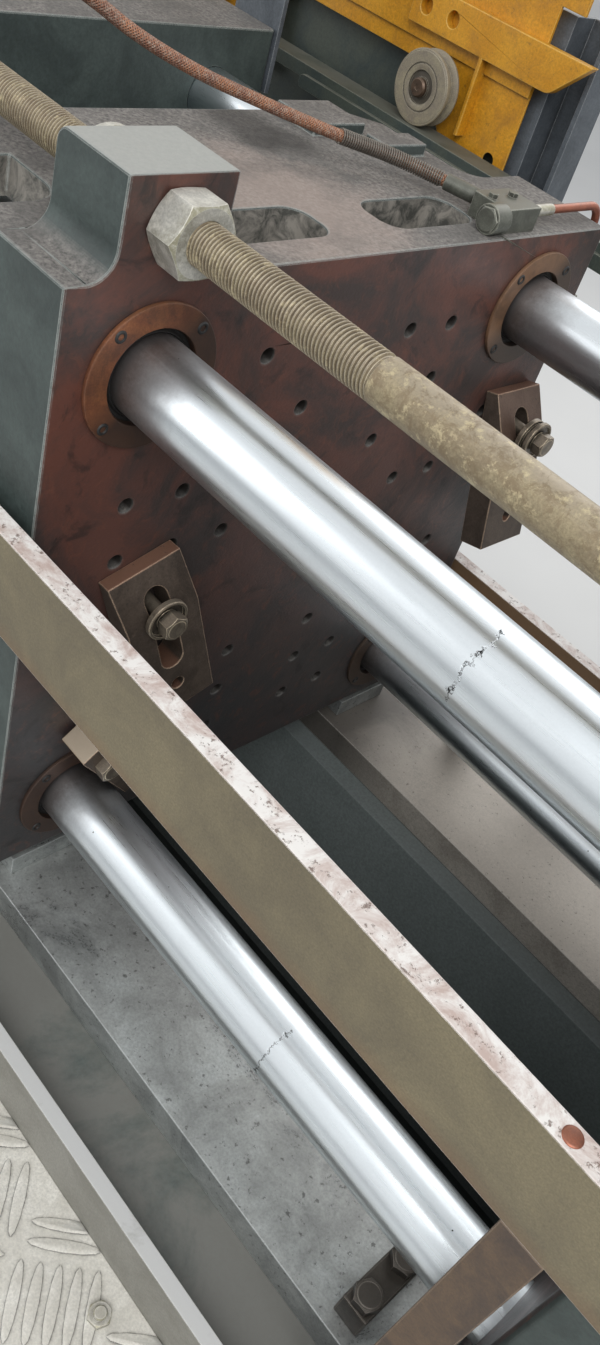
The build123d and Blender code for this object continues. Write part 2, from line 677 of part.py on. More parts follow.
# Slotted bracket with its screw, on the rear platen's side
bracket_middle = FACE_X + BRACKET_FROM_FACE + BRACKET_WIDTH / 2
bracket_height = BRACKET_HIGH - BRACKET_LOW
bracket_slot_z = AXIS_HEIGHT + BRACKET_LOW + BRACKET_SLOT
with BuildPart() as slotted_bracket:
    with BuildSketch(Plane.XZ.offset(-HALF_PLATEN - BRACKET_THICKNESS)):
        with Locations((bracket_middle, AXIS_HEIGHT + BRACKET_LOW + bracket_height / 2)):
            Rectangle(BRACKET_WIDTH, bracket_height)
        with Locations((bracket_middle, bracket_slot_z)):
            SlotOverall(BRACKET_SLOT, BRACKET_SLOT_WIDTH, rotation=90, mode=Mode.SUBTRACT)
    extrude(amount=BRACKET_THICKNESS)
slotted_bracket.part.label = "slotted_bracket"
export_step(slotted_bracket.part, "parts/slotted_bracket.step")

# Moving platen, in three layers: the mould plate, the web with cored pockets and the back
seat_radius = TIE_RADIUS + BUSHING_WALL + BUSHING_SEAT_CLEARANCE
plate_x = (FACE_X - POCKET_WALL, FACE_X)
web_x = (plate_x[0] - POCKET_WIDTH, plate_x[0])
back_x = (MOVING_BACK, web_x[0])
platen_y = (-HALF_PLATEN, HALF_PLATEN)
platen_z = (PLATEN_BOTTOM, PLATEN_TOP)

with BuildPart() as moving_platen:
    block(plate_x, platen_y, platen_z)
    for place in TIE_PLACES.values():
        round_x(plate_x, *place, seat_radius, Mode.SUBTRACT)
    for hole_y, hole_z in HOLE_PLACES:
        hole_x = (FACE_X - HOLE_DEPTH, FACE_X)
        round_x(hole_x, hole_y, AXIS_HEIGHT + hole_z, HOLE_DIAMETER / 2, Mode.SUBTRACT)
    for bolt in (*CLAMP_BOLTS, HEEL_BOLT):
        round_x((FACE_X - HOLE_DEPTH, FACE_X), *bolt_place(*bolt), HOLE_DIAMETER / 2, Mode.SUBTRACT)
    round_x(plate_x, 0, AXIS_HEIGHT, CENTRE_HOLE_DIAMETER / 2, Mode.SUBTRACT)
moving_platen.part.label = "moving_platen"
export_step(moving_platen.part, "parts/moving_platen.step")

with BuildPart() as moving_platen_web:
    block(web_x, platen_y, platen_z)
    for side in (-1, 1):
        for level, z in ((1, PLATEN_TOP), (-1, PLATEN_BOTTOM)):
            with BuildSketch(Plane.XY.offset(z)):
                with Locations(((web_x[0] + web_x[1]) / 2, side * POCKET_OFFSET)):
                    RectangleRounded(POCKET_WIDTH, POCKET_LENGTH, POCKET_RADIUS)
            extrude(amount=-level * POCKET_DEPTH, mode=Mode.SUBTRACT)
    for place in TIE_PLACES.values():
        round_x(web_x, *place, seat_radius, Mode.SUBTRACT)
moving_platen_web.part.label = "moving_platen_web"
export_step(moving_platen_web.part, "parts/moving_platen_web.step")

with BuildPart() as moving_platen_back:
    back_plate_x = (FACE_X - MOVING_PLATE, web_x[0])
    body_x = (MOVING_BACK, back_plate_x[0])
    slab_y = (-BODY_SLAB_WIDTH / 2, BODY_SLAB_WIDTH / 2)
    top_slab_z = (PLATEN_TOP - BODY_SLAB, PLATEN_TOP)
    block(body_x, slab_y, top_slab_z)
    block(body_x, slab_y, (PLATEN_BOTTOM, PLATEN_BOTTOM + BODY_SLAB))
    slab_corners = moving_platen_back.edges().filter_by(Axis.Z).group_by(Axis.X)[0]
    chamfer(slab_corners, BODY_CORNER_CUT)
    block(body_x, (-BODY_WIDTH / 2, BODY_WIDTH / 2), platen_z)
    block(back_plate_x, platen_y, platen_z)
    for root_y in slab_y:
        for root_z in (PLATEN_TOP, PLATEN_BOTTOM):
            slab_roots = moving_platen_back.edges().filter_by(Axis.Z)
            slab_root = slab_roots.sort_by_distance((body_x[1], root_y, root_z))[0]
            fillet(slab_root, BODY_SLAB_ROUND)
    lug_x = (FACE_X + NIPPLE_LUG[0], FACE_X + NIPPLE_LUG[1])
    block(lug_x, (platen_y[0], slab_y[0]), top_slab_z)
    for pad_x, pad_y in (REAR_PAD, BACK_PAD):
        pad_ends = (FACE_X + pad_x[0], FACE_X + pad_x[1])
        block(pad_ends, pad_y, (PLATEN_TOP, PLATEN_TOP + PAD_HEIGHT))
    for place in TIE_PLACES.values():
        round_x(back_plate_x, *place, seat_radius, Mode.SUBTRACT)
moving_platen_back.part.label = "moving_platen_back"
export_step(moving_platen_back.part, "parts/moving_platen_back.step")

boss_x = (FACE_X - BOSS_LENGTH, FACE_X)
with BuildPart() as moving_rod_boss:
    rod_boss(boss_x)
    boss_rim = moving_rod_boss.edges().filter_by(Axis.Y).group_by(Axis.Z)[-1].group_by(Axis.X)[0]
    fillet(boss_rim, BOSS_ROUND)
moving_rod_boss.part.label = "moving_rod_boss"
export_step(moving_rod_boss.part, "parts/moving_rod_boss.step")

# Flanged bushings that run on the tie bars, with a recess for the wiper
bushing_radius = TIE_RADIUS + BUSHING_WALL
with BuildPart() as tie_bar_bushings:
    for place in TIE_PLACES.values():
        round_x((FACE_X - BUSHING_LENGTH, FACE_X), *place, bushing_radius)
        round_x((FACE_X, FACE_X + BUSHING_FLANGE), *place, BUSHING_FLANGE_DIAMETER / 2)
    for place in TIE_PLACES.values():
        bush_x = (FACE_X - BUSHING_LENGTH, FACE_X + BUSHING_FLANGE)
        round_x(bush_x, *place, TIE_RADIUS + RUNNING_CLEARANCE, Mode.SUBTRACT)
        recess_x = (FACE_X - BUSHING_RECESS_DEPTH, FACE_X + BUSHING_FLANGE)
        round_x(recess_x, *place, BUSHING_RECESS_DIAMETER / 2, Mode.SUBTRACT)
tie_bar_bushings.part.label = "tie_bar_bushings"
export_step(tie_bar_bushings.part, "parts/tie_bar_bushings.step")

# Guide shoes under the moving platen, each a shoe with a packer over it
shoe_x = (FACE_X - SHOE_SETBACK - SHOE_LENGTH, FACE_X - SHOE_SETBACK)
shoe_top = WAY_TOP + SHOE_GAP + SHOE_THICKNESS
with BuildPart() as guide_shoes:
    for side in (-1, 1):
        middle = side * way_middle
        shoe_y = (middle - SHOE_WIDTH / 2, middle + SHOE_WIDTH / 2)
        block(shoe_x, shoe_y, (WAY_TOP + SHOE_GAP, shoe_top))
        packer_x = (shoe_x[0] + PACKER_INSET, shoe_x[1] - PACKER_INSET)
        packer_y = (shoe_y[0] + PACKER_INSET, shoe_y[1] - PACKER_INSET)
        block(packer_x, packer_y, (shoe_top, PLATEN_BOTTOM))
guide_shoes.part.label = "guide_shoes"
export_step(guide_shoes.part, "parts/guide_shoes.step")

with BuildPart() as ram:
    round_x((MOVING_BACK - RAM_LENGTH, MOVING_BACK), 0, AXIS_HEIGHT, RAM_DIAMETER / 2)
ram.part.label = "ram"
export_step(ram.part, "parts/ram.step")

with BuildPart() as ram_flange:
    flange_x = (MOVING_BACK - RAM_FLANGE, MOVING_BACK)
    round_x(flange_x, 0, AXIS_HEIGHT, RAM_FLANGE_DIAMETER / 2)
    ram_hole = RAM_DIAMETER / 2 + RUNNING_CLEARANCE
    round_x(flange_x, 0, AXIS_HEIGHT, ram_hole, Mode.SUBTRACT)
ram_flange.part.label = "ram_flange"
export_step(ram_flange.part, "parts/ram_flange.step")

# Safety rod with its nuts and washer on both faces of the boss
with BuildPart() as safety_rod:
    round_x((FACE_X - ROD_BEHIND, FACE_X + ROD_AHEAD), ROD_Y, ROD_Z, ROD_DIAMETER / 2)
safety_rod.part.label = "safety_rod"
export_step(safety_rod.part, "parts/safety_rod.step")

rod_hole = ROD_DIAMETER / 2 + ROD_CLEARANCE
back_washer_x = (boss_x[0] - ROD_WASHER, boss_x[0])
with BuildPart() as safety_rod_nuts:
    hexagon_x((FACE_X, FACE_X + ROD_NUT_LENGTH), ROD_Y, ROD_Z, ROD_NUT_FLATS, ROD_NUT_EDGE)
    round_x(back_washer_x, ROD_Y, ROD_Z, ROD_WASHER_DIAMETER / 2)
    round_x((back_washer_x[0], FACE_X + ROD_NUT_LENGTH), ROD_Y, ROD_Z, rod_hole, Mode.SUBTRACT)
safety_rod_nuts.part.label = "safety_rod_nuts"
export_step(safety_rod_nuts.part, "parts/safety_rod_nuts.step")

# Mould clamps and a heel block, bolted to the moving platen
for name, y, height, turn, lean, bolt_at, washers in CLAMP_PLACES:
    plane = clamp_plane(y, height, turn, lean)
    side_plane = Plane(plane.origin, x_dir=plane.x_dir, z_dir=-plane.y_dir)
    with BuildPart() as mould_clamp:
        with BuildSketch(side_plane.offset(-CLAMP_WIDTH / 2)):
            with BuildLine():
                Polyline(
                    (0, 0), (0, CLAMP_THIN), (CLAMP_BEND_AT, CLAMP_BEND_THICKNESS),
                    (CLAMP_LENGTH, CLAMP_THICK), (CLAMP_LENGTH, 0), close=True,
                )
            make_face()
        extrude(amount=CLAMP_WIDTH)
        with BuildSketch(plane):
            with Locations(((CLAMP_SLOT_START + CLAMP_SLOT_END) / 2, 0)):
                SlotOverall(CLAMP_SLOT_END - CLAMP_SLOT_START, CLAMP_SLOT_WIDTH)
            with Locations((CLAMP_HOLE_AT, 0)):
                Circle(CLAMP_HOLE_DIAMETER / 2)
        extrude(amount=CLAMP_BEND_THICKNESS, mode=Mode.SUBTRACT)
    mould_clamp.part.label = name
    export_step(mould_clamp.part, f"parts/{name}.step")

with BuildPart() as heel_block:
    with BuildSketch(clamp_plane(*HEEL_PLACE).offset(HEEL_OFF_FACE)):
        with Locations((HEEL_LENGTH / 2, 0)):
            Rectangle(HEEL_LENGTH, HEEL_WIDTH)
        with Locations((HEEL_HOLE_AT, 0)):
            Circle(HEEL_HOLE_DIAMETER / 2, mode=Mode.SUBTRACT)
    extrude(amount=HEEL_THICKNESS)
heel_block.part.label = "heel_block"
export_step(heel_block.part, "parts/heel_block.step")


def clamp_surface(distance):
    """Height of a clamp's outer surface over its back, a distance from its thin end."""
    if distance < CLAMP_BEND_AT:
        rise = (CLAMP_BEND_THICKNESS - CLAMP_THIN) / CLAMP_BEND_AT
        return CLAMP_THIN + rise * distance
    rise = (CLAMP_THICK - CLAMP_BEND_THICKNESS) / (CLAMP_LENGTH - CLAMP_BEND_AT)
    return CLAMP_BEND_THICKNESS + rise * (distance - CLAMP_BEND_AT)


with BuildPart() as clamp_bolts:
    for name, y, height, turn, lean, bolt_at, washers in CLAMP_PLACES:
        bolt_y, bolt_z = bolt_place(y, height, turn, bolt_at)
        washer_foot = bolt_at + CLAMP_WASHER_DIAMETER / 2
        edge = (washer_foot + CLAMP_BEND_THICKNESS * sin(radians(lean))) / cos(radians(lean))
        seat = clamp_surface(edge) * cos(radians(lean)) + edge * sin(radians(lean))
        head_x = (FACE_X + seat + washers, FACE_X + seat + washers + CLAMP_HEAD)
        round_x((FACE_X - CLAMP_BOLT_REACH, head_x[0]), bolt_y, bolt_z, CLAMP_BOLT_DIAMETER / 2)
        round_x((FACE_X + seat, head_x[0]), bolt_y, bolt_z, CLAMP_WASHER_DIAMETER / 2)
        hexagon_x(head_x, bolt_y, bolt_z, CLAMP_HEAD_FLATS)
    bolt_y, bolt_z = bolt_place(*HEEL_BOLT)
    heel_top = FACE_X + HEEL_OFF_FACE + HEEL_THICKNESS
    round_x((FACE_X - CLAMP_BOLT_REACH, heel_top), bolt_y, bolt_z, CLAMP_BOLT_DIAMETER / 2)
    hexagon_x((heel_top, heel_top + CLAMP_HEAD), bolt_y, bolt_z, CLAMP_HEAD_FLATS)
clamp_bolts.part.label = "clamp_bolts"
export_step(clamp_bolts.part, "parts/clamp_bolts.step")

# Hose across the platen's top, from the ferrule to a nipple behind the boss
hose_points = [Vector(FACE_X + x, y, AXIS_HEIGHT + z) for x, y, z in HOSE_ROUTE]
runs = [after - before for before, after in zip(hose_points, hose_points[1:])]
bend_radii = []
for before, after in zip(runs, runs[1:]):
    half_turn = radians(before.get_angle(after)) / 2
    bend_radii.append(0.45 * min(before.length, after.length) / tan(half_turn))
print("hose arc radii:", [round(radius) for radius in bend_radii])
with BuildPart() as hose:
    with BuildLine() as hose_path:
        FilletPolyline(*hose_points, radius=bend_radii)
    with BuildSketch(Plane(hose_points[0], z_dir=runs[0])):
        Circle(HOSE_DIAMETER / 2)
    sweep(path=hose_path.line)
hose.part.label = "hose"
export_step(hose.part, "parts/hose.step")

# Lubrication block on the platen's top, with a round union and the hose's ferrule
lub_x = (FACE_X - LUB_BLOCK_SETBACK - LUB_BLOCK_LENGTH, FACE_X - LUB_BLOCK_SETBACK)
lub_z = (PLATEN_TOP, PLATEN_TOP + LUB_BLOCK_HEIGHT)
lub_y = (LUB_BLOCK_AT, LUB_BLOCK_AT + LUB_BLOCK_WIDTH)
lub_middle = (lub_z[0] + lub_z[1]) / 2
union_x = lub_x[1] - LUB_UNION_INSET
union_y = (lub_y[0] - LUB_UNION_LENGTH, lub_y[0])
with BuildPart() as lubrication_block:
    block(lub_x, lub_y, lub_z)
    round_y(union_x, union_y, PLATEN_TOP + LUB_UNION_RADIUS, LUB_UNION_RADIUS)
    with BuildSketch(Plane(hose_points[0], z_dir=-runs[0])):
        Circle(FERRULE_RADIUS)
    extrude(amount=FERRULE_LENGTH)
lubrication_block.part.label = "lubrication_block"
export_step(lubrication_block.part, "parts/lubrication_block.step")

# Copper tube from the block over the platen's edge, down into a fitting on its side
tube_x = FACE_X - LUB_BLOCK_SETBACK - LUB_BLOCK_LENGTH * 0.4
tube_end_z = lub_middle - TUBE_DROP
with BuildPart() as copper_tube:
    with BuildLine() as tube_path:
        FilletPolyline(
            (tube_x, lub_y[1], lub_middle), (tube_x, TUBE_REACH, lub_middle),
            (tube_x, TUBE_REACH, tube_end_z), radius=TUBE_BEND,
        )
    with BuildSketch(Plane((tube_x, lub_y[1], lub_middle), x_dir=(1, 0, 0), z_dir=(0, 1, 0))):
        Circle(TUBE_RADIUS)
    sweep(path=tube_path.line)
copper_tube.part.label = "copper_tube"
export_step(copper_tube.part, "parts/copper_tube.step")

with BuildPart() as tube_fitting:
    fitting_x = (tube_x - TUBE_FITTING / 2, tube_x + TUBE_FITTING / 2)
    fitting_y = (HALF_PLATEN, TUBE_REACH + TUBE_RADIUS * 2)
    block(fitting_x, fitting_y, (tube_end_z - TUBE_FITTING, tube_end_z))
tube_fitting.part.label = "tube_fitting"
export_step(tube_fitting.part, "parts/tube_fitting.step")

with BuildPart() as hose_nipple:
    with BuildSketch(Plane(hose_points[-1], z_dir=runs[-1])):
        Circle(FERRULE_RADIUS)
    extrude(amount=NIPPLE_LENGTH)
    block((MOVING_BACK, FACE_X), (-HALF_PLATEN, 0), (PLATEN_BOTTOM, PLATEN_TOP), Mode.SUBTRACT)
hose_nipple.part.label = "hose_nipple"
export_step(hose_nipple.part, "parts/hose_nipple.step")

# Guard gate: a panel with a window over a strip with two roller carriers, a bar with a
# rib and a bevelled end, and two axles
panel_x = (FACE_X - PANEL_BEHIND, FACE_X + PANEL_AHEAD)
panel_y = (PANEL_INNER, PANEL_INNER + PANEL_THICKNESS)
panel_z = (AXIS_HEIGHT + PANEL_LOW, AXIS_HEIGHT + PANEL_HIGH)
carrier_y = (panel_y[1], panel_y[1] + CARRIER_THICKNESS)
carrier_edge = AXIS_HEIGHT + CARRIER_EDGE
shoulder_x = (panel_x[1], panel_x[1] + PANEL_SHOULDER)
window_x = (panel_x[0] + WINDOW_MARGIN, panel_x[1] - WINDOW_MARGIN)
window_z = (AXIS_HEIGHT + WINDOW_LOW, AXIS_HEIGHT + WINDOW_HIGH)
with BuildPart() as gate_panel:
    block(panel_x, panel_y, panel_z)
    block(shoulder_x, panel_y, (AXIS_HEIGHT + PANEL_SHOULDER_LOW, panel_z[1]))
    block(window_x, panel_y, window_z, Mode.SUBTRACT)
    block(panel_x, carrier_y, (carrier_edge, AXIS_HEIGHT + CARRIER_HIGH))
    with BuildSketch(Plane.XZ.offset(-carrier_y[1])) as carriers:
        for roller_at in ROLLER_AT:
            roller_x = FACE_X + roller_at
            carrier_x = (roller_x - CARRIER_BEHIND, roller_x + CARRIER_AHEAD)
            carrier_step = AXIS_HEIGHT + CARRIER_STEP
            with BuildLine():
                Polyline(
                    (carrier_x[0], carrier_edge), (carrier_x[0], carrier_step + CARRIER_CUT[1]),
                    (carrier_x[0] + CARRIER_CUT[0], carrier_step),
                    (carrier_x[0] + CARRIER_CUT[0], AXIS_HEIGHT + CARRIER_LOW),
                    (carrier_x[1], AXIS_HEIGHT + CARRIER_LOW), (carrier_x[1], carrier_edge),
                    close=True,
                )
            make_face()
            with Locations((roller_x + CARRIER_HOLE_AT[0], AXIS_HEIGHT + CARRIER_HOLE_AT[1])):
                Circle(CARRIER_HOLE / 2, mode=Mode.SUBTRACT)
    extrude(carriers.sketch, amount=CARRIER_THICKNESS)
gate_panel.part.label = "gate_panel"
export_step(gate_panel.part, "parts/gate_panel.step")

with BuildPart() as gate_window:
    block(window_x, panel_y, window_z)
gate_window.part.label = "gate_window"
export_step(gate_window.part, "parts/gate_window.step")

bar_x = (FACE_X - GATE_BAR_BEHIND, FACE_X + GATE_BAR_AHEAD)
bar_z = (AXIS_HEIGHT + GATE_BAR_LOW, AXIS_HEIGHT + GATE_BAR_LOW + GATE_BAR_HEIGHT)
bar_y = (PANEL_INNER - GATE_BAR_THICKNESS, PANEL_INNER)
rib_x = (FACE_X + GATE_RIB_AT, FACE_X + GATE_RIB_AT + GATE_RIB_THICKNESS)
with BuildPart() as gate_bar:
    with BuildSketch(Plane.XZ.offset(-bar_y[1])):
        with BuildLine():
            Polyline(
                (bar_x[0], bar_z[0]), (bar_x[1] - GATE_BAR_BEVEL, bar_z[0]), (bar_x[1], bar_z[1]),
                (bar_x[0], bar_z[1]), close=True,
            )
        make_face()
        hole_z = (bar_z[0] + bar_z[1]) / 2
        with Locations(*[(FACE_X + hole_at, hole_z) for hole_at in GATE_BAR_HOLES_AT]):
            Circle(GATE_BAR_HOLE / 2, mode=Mode.SUBTRACT)
    extrude(amount=GATE_BAR_THICKNESS)
    bevel_foot = (bar_x[1] - GATE_BAR_BEVEL, bar_y[0], bar_z[0])
    fillet(gate_bar.edges().filter_by(Axis.Y).sort_by_distance(bevel_foot)[0], GATE_BAR_ROUND)
    block(rib_x, bar_y, (panel_z[0], bar_z[0]))
    block(rib_x, (bar_y[0], carrier_y[0]), (rail_top + GATE_RIB_GAP, panel_z[0]))
gate_bar.part.label = "gate_bar"
export_step(gate_bar.part, "parts/gate_bar.step")

with BuildPart() as gate_axles:
    for roller_at in ROLLER_AT:
        roller_x = FACE_X + roller_at
        axle_y = (ROLLER_Y - ROLLER_WIDTH / 2 - AXLE_STAND_OUT, carrier_y[0])
        round_y(roller_x, axle_y, ROLLER_Z, ROLLER_BORE / 2)
        collar_y = (ROLLER_Y + ROLLER_WIDTH / 2 + ROLLER_SIDE_GAP, carrier_y[0])
        round_y(roller_x, collar_y, ROLLER_Z, AXLE_COLLAR_RADIUS)
        head_y = (axle_y[0], ROLLER_Y - ROLLER_WIDTH / 2 - ROLLER_SIDE_GAP)
        round_y(roller_x, head_y, ROLLER_Z, AXLE_HEAD_RADIUS)
gate_axles.part.label = "gate_axles"
export_step(gate_axles.part, "parts/gate_axles.step")

# Grooved rollers that carry the gate on its rail
for roller_at, name in zip(ROLLER_AT, ("gate_roller_leading", "gate_roller_trailing")):
    roller_x = FACE_X + roller_at
    half = ROLLER_WIDTH / 2
    bore = ROLLER_BORE / 2 + AXLE_CLEARANCE
    groove = ROLLER_RADIUS - ROLLER_GROOVE
    with BuildPart() as gate_roller:
        with BuildSketch(Plane((roller_x, ROLLER_Y, ROLLER_Z), x_dir=(0, 1, 0), z_dir=(1, 0, 0))):
            with BuildLine():
                Polyline(
                    (-half, bore), (half, bore), (half, ROLLER_RADIUS), (half - ROLLER_RIM, ROLLER_RADIUS),
                    (half - ROLLER_RIM * 2, groove), (-half + ROLLER_RIM * 2, groove),
                    (-half + ROLLER_RIM, ROLLER_RADIUS), (-half, ROLLER_RADIUS), close=True,
                )
            make_face()
        revolve(axis=Axis((roller_x, ROLLER_Y, ROLLER_Z), (0, 1, 0)))
    gate_roller.part.label = name
    export_step(gate_roller.part, f"parts/{name}.step")
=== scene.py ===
"""Clamping unit of an injection molding machine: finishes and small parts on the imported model."""
import json
import math

import bmesh
import bpy
from bpy.props import FloatProperty, FloatVectorProperty, IntProperty, PointerProperty
from mathutils import Color, Matrix, Vector


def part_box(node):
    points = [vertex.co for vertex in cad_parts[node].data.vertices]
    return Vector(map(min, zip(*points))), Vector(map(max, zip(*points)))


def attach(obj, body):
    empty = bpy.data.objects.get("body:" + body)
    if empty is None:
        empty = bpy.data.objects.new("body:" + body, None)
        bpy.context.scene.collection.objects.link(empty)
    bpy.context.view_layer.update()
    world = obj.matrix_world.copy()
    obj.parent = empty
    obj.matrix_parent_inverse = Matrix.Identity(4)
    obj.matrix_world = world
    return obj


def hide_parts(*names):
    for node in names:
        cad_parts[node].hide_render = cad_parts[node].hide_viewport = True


bl_info = {
    "name": "Clamping unit finishes",
    "version": (1, 0, 0),
    "blender": (4, 5, 0),
    "location": "3D View > Sidebar > Clamping unit",
    "description": "Dresses the clamping unit with its finishes, threads, bolts and hose",
    "category": "Object",
}

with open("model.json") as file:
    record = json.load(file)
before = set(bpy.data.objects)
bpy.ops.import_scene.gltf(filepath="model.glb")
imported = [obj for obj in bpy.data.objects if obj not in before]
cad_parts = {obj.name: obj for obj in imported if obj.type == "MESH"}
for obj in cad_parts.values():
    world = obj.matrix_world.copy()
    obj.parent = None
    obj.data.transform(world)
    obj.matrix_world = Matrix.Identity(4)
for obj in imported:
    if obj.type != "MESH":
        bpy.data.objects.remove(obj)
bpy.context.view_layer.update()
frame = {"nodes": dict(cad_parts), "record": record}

# Places that several pieces share, the photograph's camera, and the radii of bolt circles, in metres
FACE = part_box("moving_platen")[1].x
FIXED_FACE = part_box("fixed_platen")[0].x
BEAM_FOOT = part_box("front_guard_beam")[0].z
AXIS = 1.15
BAR = 0.282
FLOOR = 0.0
CAMERA_PLACE = Vector((0.8917, -0.8664, 1.9105))
CAMERA_AXES = ((0.6476, 0.7158, 0.2613), (-0.6326, 0.3139, 0.7080), (0.4248, -0.6238, 0.6561))
LENS = 29.22
SENSOR = 36.0
FLANGE_CIRCLE = 0.255
GLAND_CIRCLE = 0.152
RAM_FLANGE_CIRCLE = 0.15
BUSHING_CIRCLE = 0.0625

SLOT_OF = {part["node"]: part["material_slot"] for part in frame["record"]["subparts"]}

# Each finish's material and the record's slot that it belongs to
FINISHES = {
    "bed": ("bed_enamel", "bed_paint"),
    "platen": ("enamelled_cast_iron", "platen_paint"),
    "cylinder": ("cylinder_enamel", "cylinder_paint"),
    "ground_steel": ("ground_steel", "bare_steel"),
    "clamp": ("forged_steel", "clamp_steel"),
    "chrome": ("hard_chrome", "chrome_bar"),
    "pale_steel": ("dry_ground_steel", "bare_steel"),
    "stop": ("greasy_steel", "bare_steel"),
    "axle": ("oiled_steel", "bare_steel"),
    "manifold": ("olive_painted_steel", "clamp_steel"),
    "bolt": ("oiled_bolt_steel", "zinc_steel"),
    "upright": ("grey_primed_steel", "bare_steel"),
    "chute": ("bed_enamel_painted_lighter", "bed_paint"),
    "post": ("rusty_primed_steel", "khaki_paint"),
    "zinc": ("galvanised_steel", "zinc_steel"),
    "rod": ("zinc_passivated_steel", "zinc_steel"),
    "khaki": ("khaki_enamel", "khaki_paint"),
    "trim": ("grey_beige_enamel", "grey_trim"),
    "tread": ("rolled_aluminium", "tread_steel"),
    "rail": ("olive_enamel", "rail_paint"),
    "yellow": ("yellow_enamel", "yellow_paint"),
    "glazing": ("polycarbonate", "glazing"),
    "nylon": ("cast_nylon", "roller_plastic"),
    "bronze": ("primed_bronze", "bronze"),
    "braid": ("copper_wire_braid", "hose_rubber"),
    "seal": ("nitrile_rubber", "hose_rubber"),
    "spring": ("spring_steel_wire", "bare_steel"),
    "copper": ("tarnished_copper", "copper"),
}

# Route of the lubrication hose, from its ferrule to the nipple behind the boss
HOSE_ROUTE = [
    (-104, 184, 391), (-136, 169, 393), (-164, 136, 399), (-186, 82, 408), (-203, 28, 420),
    (-226, -32, 434), (-240, -85, 448), (-262, -145, 470), (-280, -183, 491), (-286, -228, 511),
    (-280, -273, 520), (-271, -315, 502), (-265, -341, 466), (-263, -350, 424),
]
HOSE_POINTS = [
    (FACE + x * 0.001, y * 0.001, AXIS + z * 0.001) for x, y, z in HOSE_ROUTE
]


def at(x, y, z):
    """A place in millimetres from the moving face, the machine's middle and the axis."""
    return Vector((FACE + x * 0.001, y * 0.001, AXIS + z * 0.001))


# Helpers for modelling

def deselect():
    """Leaves edit mode and selects nothing."""
    if bpy.context.object and bpy.context.object.mode != "OBJECT":
        bpy.ops.object.mode_set(mode="OBJECT")
    bpy.ops.object.select_all(action="DESELECT")


def activate(piece):
    """Selects one piece alone and makes it the active one."""
    deselect()
    piece.select_set(True)
    bpy.context.view_layer.objects.active = piece


def named(name):
    """Names the piece that was just added and puts its place into its mesh."""
    piece = bpy.context.object
    piece.name = name
    bpy.ops.object.transform_apply(location=True, rotation=True, scale=True)
    return piece


def soften(piece, width, segments=2, angle=30):
    """Rounds the piece's sharp edges and shades it smooth between them."""
    activate(piece)
    rounding = piece.modifiers.new("Rounding", "BEVEL")
    rounding.use_clamp_overlap = False
    rounding.width = width
    rounding.segments = segments
    rounding.limit_method = "ANGLE"
    rounding.angle_limit = math.radians(angle)
    bpy.ops.object.modifier_apply(modifier=rounding.name)
    bpy.ops.object.shade_smooth_by_angle(angle=math.radians(38))
    weighted = piece.modifiers.new("Normals", "WEIGHTED_NORMAL")
    weighted.keep_sharp = True
    bpy.ops.object.modifier_apply(modifier=weighted.name)
    return piece


def bar_of_steel(name, low, high, width=0.001, segments=2):
    """A rectangular piece between two corners, with rounded edges."""
    low, high = Vector(low), Vector(high)
    deselect()
    bpy.ops.mesh.primitive_cube_add(size=1, location=(low + high) / 2, scale=high - low)
    return soften(named(name), width, segments)


def turned(name, profile, steps=48):
    """A piece turned about Z from (radius, height) points, at the origin."""
    deselect()
    bpy.ops.mesh.primitive_plane_add(size=0.01)
    piece = named(name)
    bpy.ops.object.mode_set(mode="EDIT")
    bpy.ops.mesh.select_all(action="SELECT")
    bpy.ops.mesh.merge(type="CENTER")
    bpy.ops.transform.translate(value=(profile[0][0], 0, profile[0][1]))
    for before, after in zip(profile, profile[1:]):
        step = (after[0] - before[0], 0, after[1] - before[1])
        bpy.ops.mesh.extrude_region_move(TRANSFORM_OT_translate={"value": step})
    bpy.ops.mesh.select_all(action="SELECT")
    bpy.ops.mesh.spin(steps=steps, angle=2 * math.pi, center=(0, 0, 0), axis=(0, 0, 1))
    bpy.ops.mesh.select_all(action="SELECT")
    bpy.ops.mesh.remove_doubles(threshold=1e-6)
    bpy.ops.mesh.normals_make_consistent(inside=False)
    bpy.ops.object.mode_set(mode="OBJECT")
    bpy.ops.object.shade_smooth_by_angle(angle=math.radians(35))
    return piece


def hexagonal(name, flats, height, bore=0.0, both=False, steps=36):
    """A hexagon head or nut on Z from height 0 up, its corners turned down at 30 degrees."""
    corner = flats / math.sqrt(3)
    crown = flats / 2 * 0.96
    fall = (corner - crown) * math.tan(math.radians(30))
    foot = [(crown, 0), (corner, fall)] if both else [(corner, 0)]
    inner = [(bore, height), (bore, 0)] if bore else [(0, height)]
    profile = foot + [(corner, height - fall), (crown, height)] + inner
    if bore:
        profile = [(bore, 0)] + profile[:-1] + [(bore, 0)]
    else:
        profile = [(0, 0)] + profile
    piece = turned(name, profile, steps)
    for vertex in piece.data.vertices:
        x, y, z = vertex.co
        radius = math.hypot(x, y)
        if radius < corner - 1e-5:
            continue
        turn = math.atan2(y, x) % math.radians(60) - math.radians(30)
        edge = flats / 2 / math.cos(turn)
        vertex.co.x, vertex.co.y = x * edge / radius, y * edge / radius
        drop = (edge - crown) * math.tan(math.radians(30))
        if z > height / 2:
            vertex.co.z = height - drop
        elif both:
            vertex.co.z = drop
    activate(piece)
    bpy.ops.object.shade_smooth_by_angle(angle=math.radians(25))
    return piece


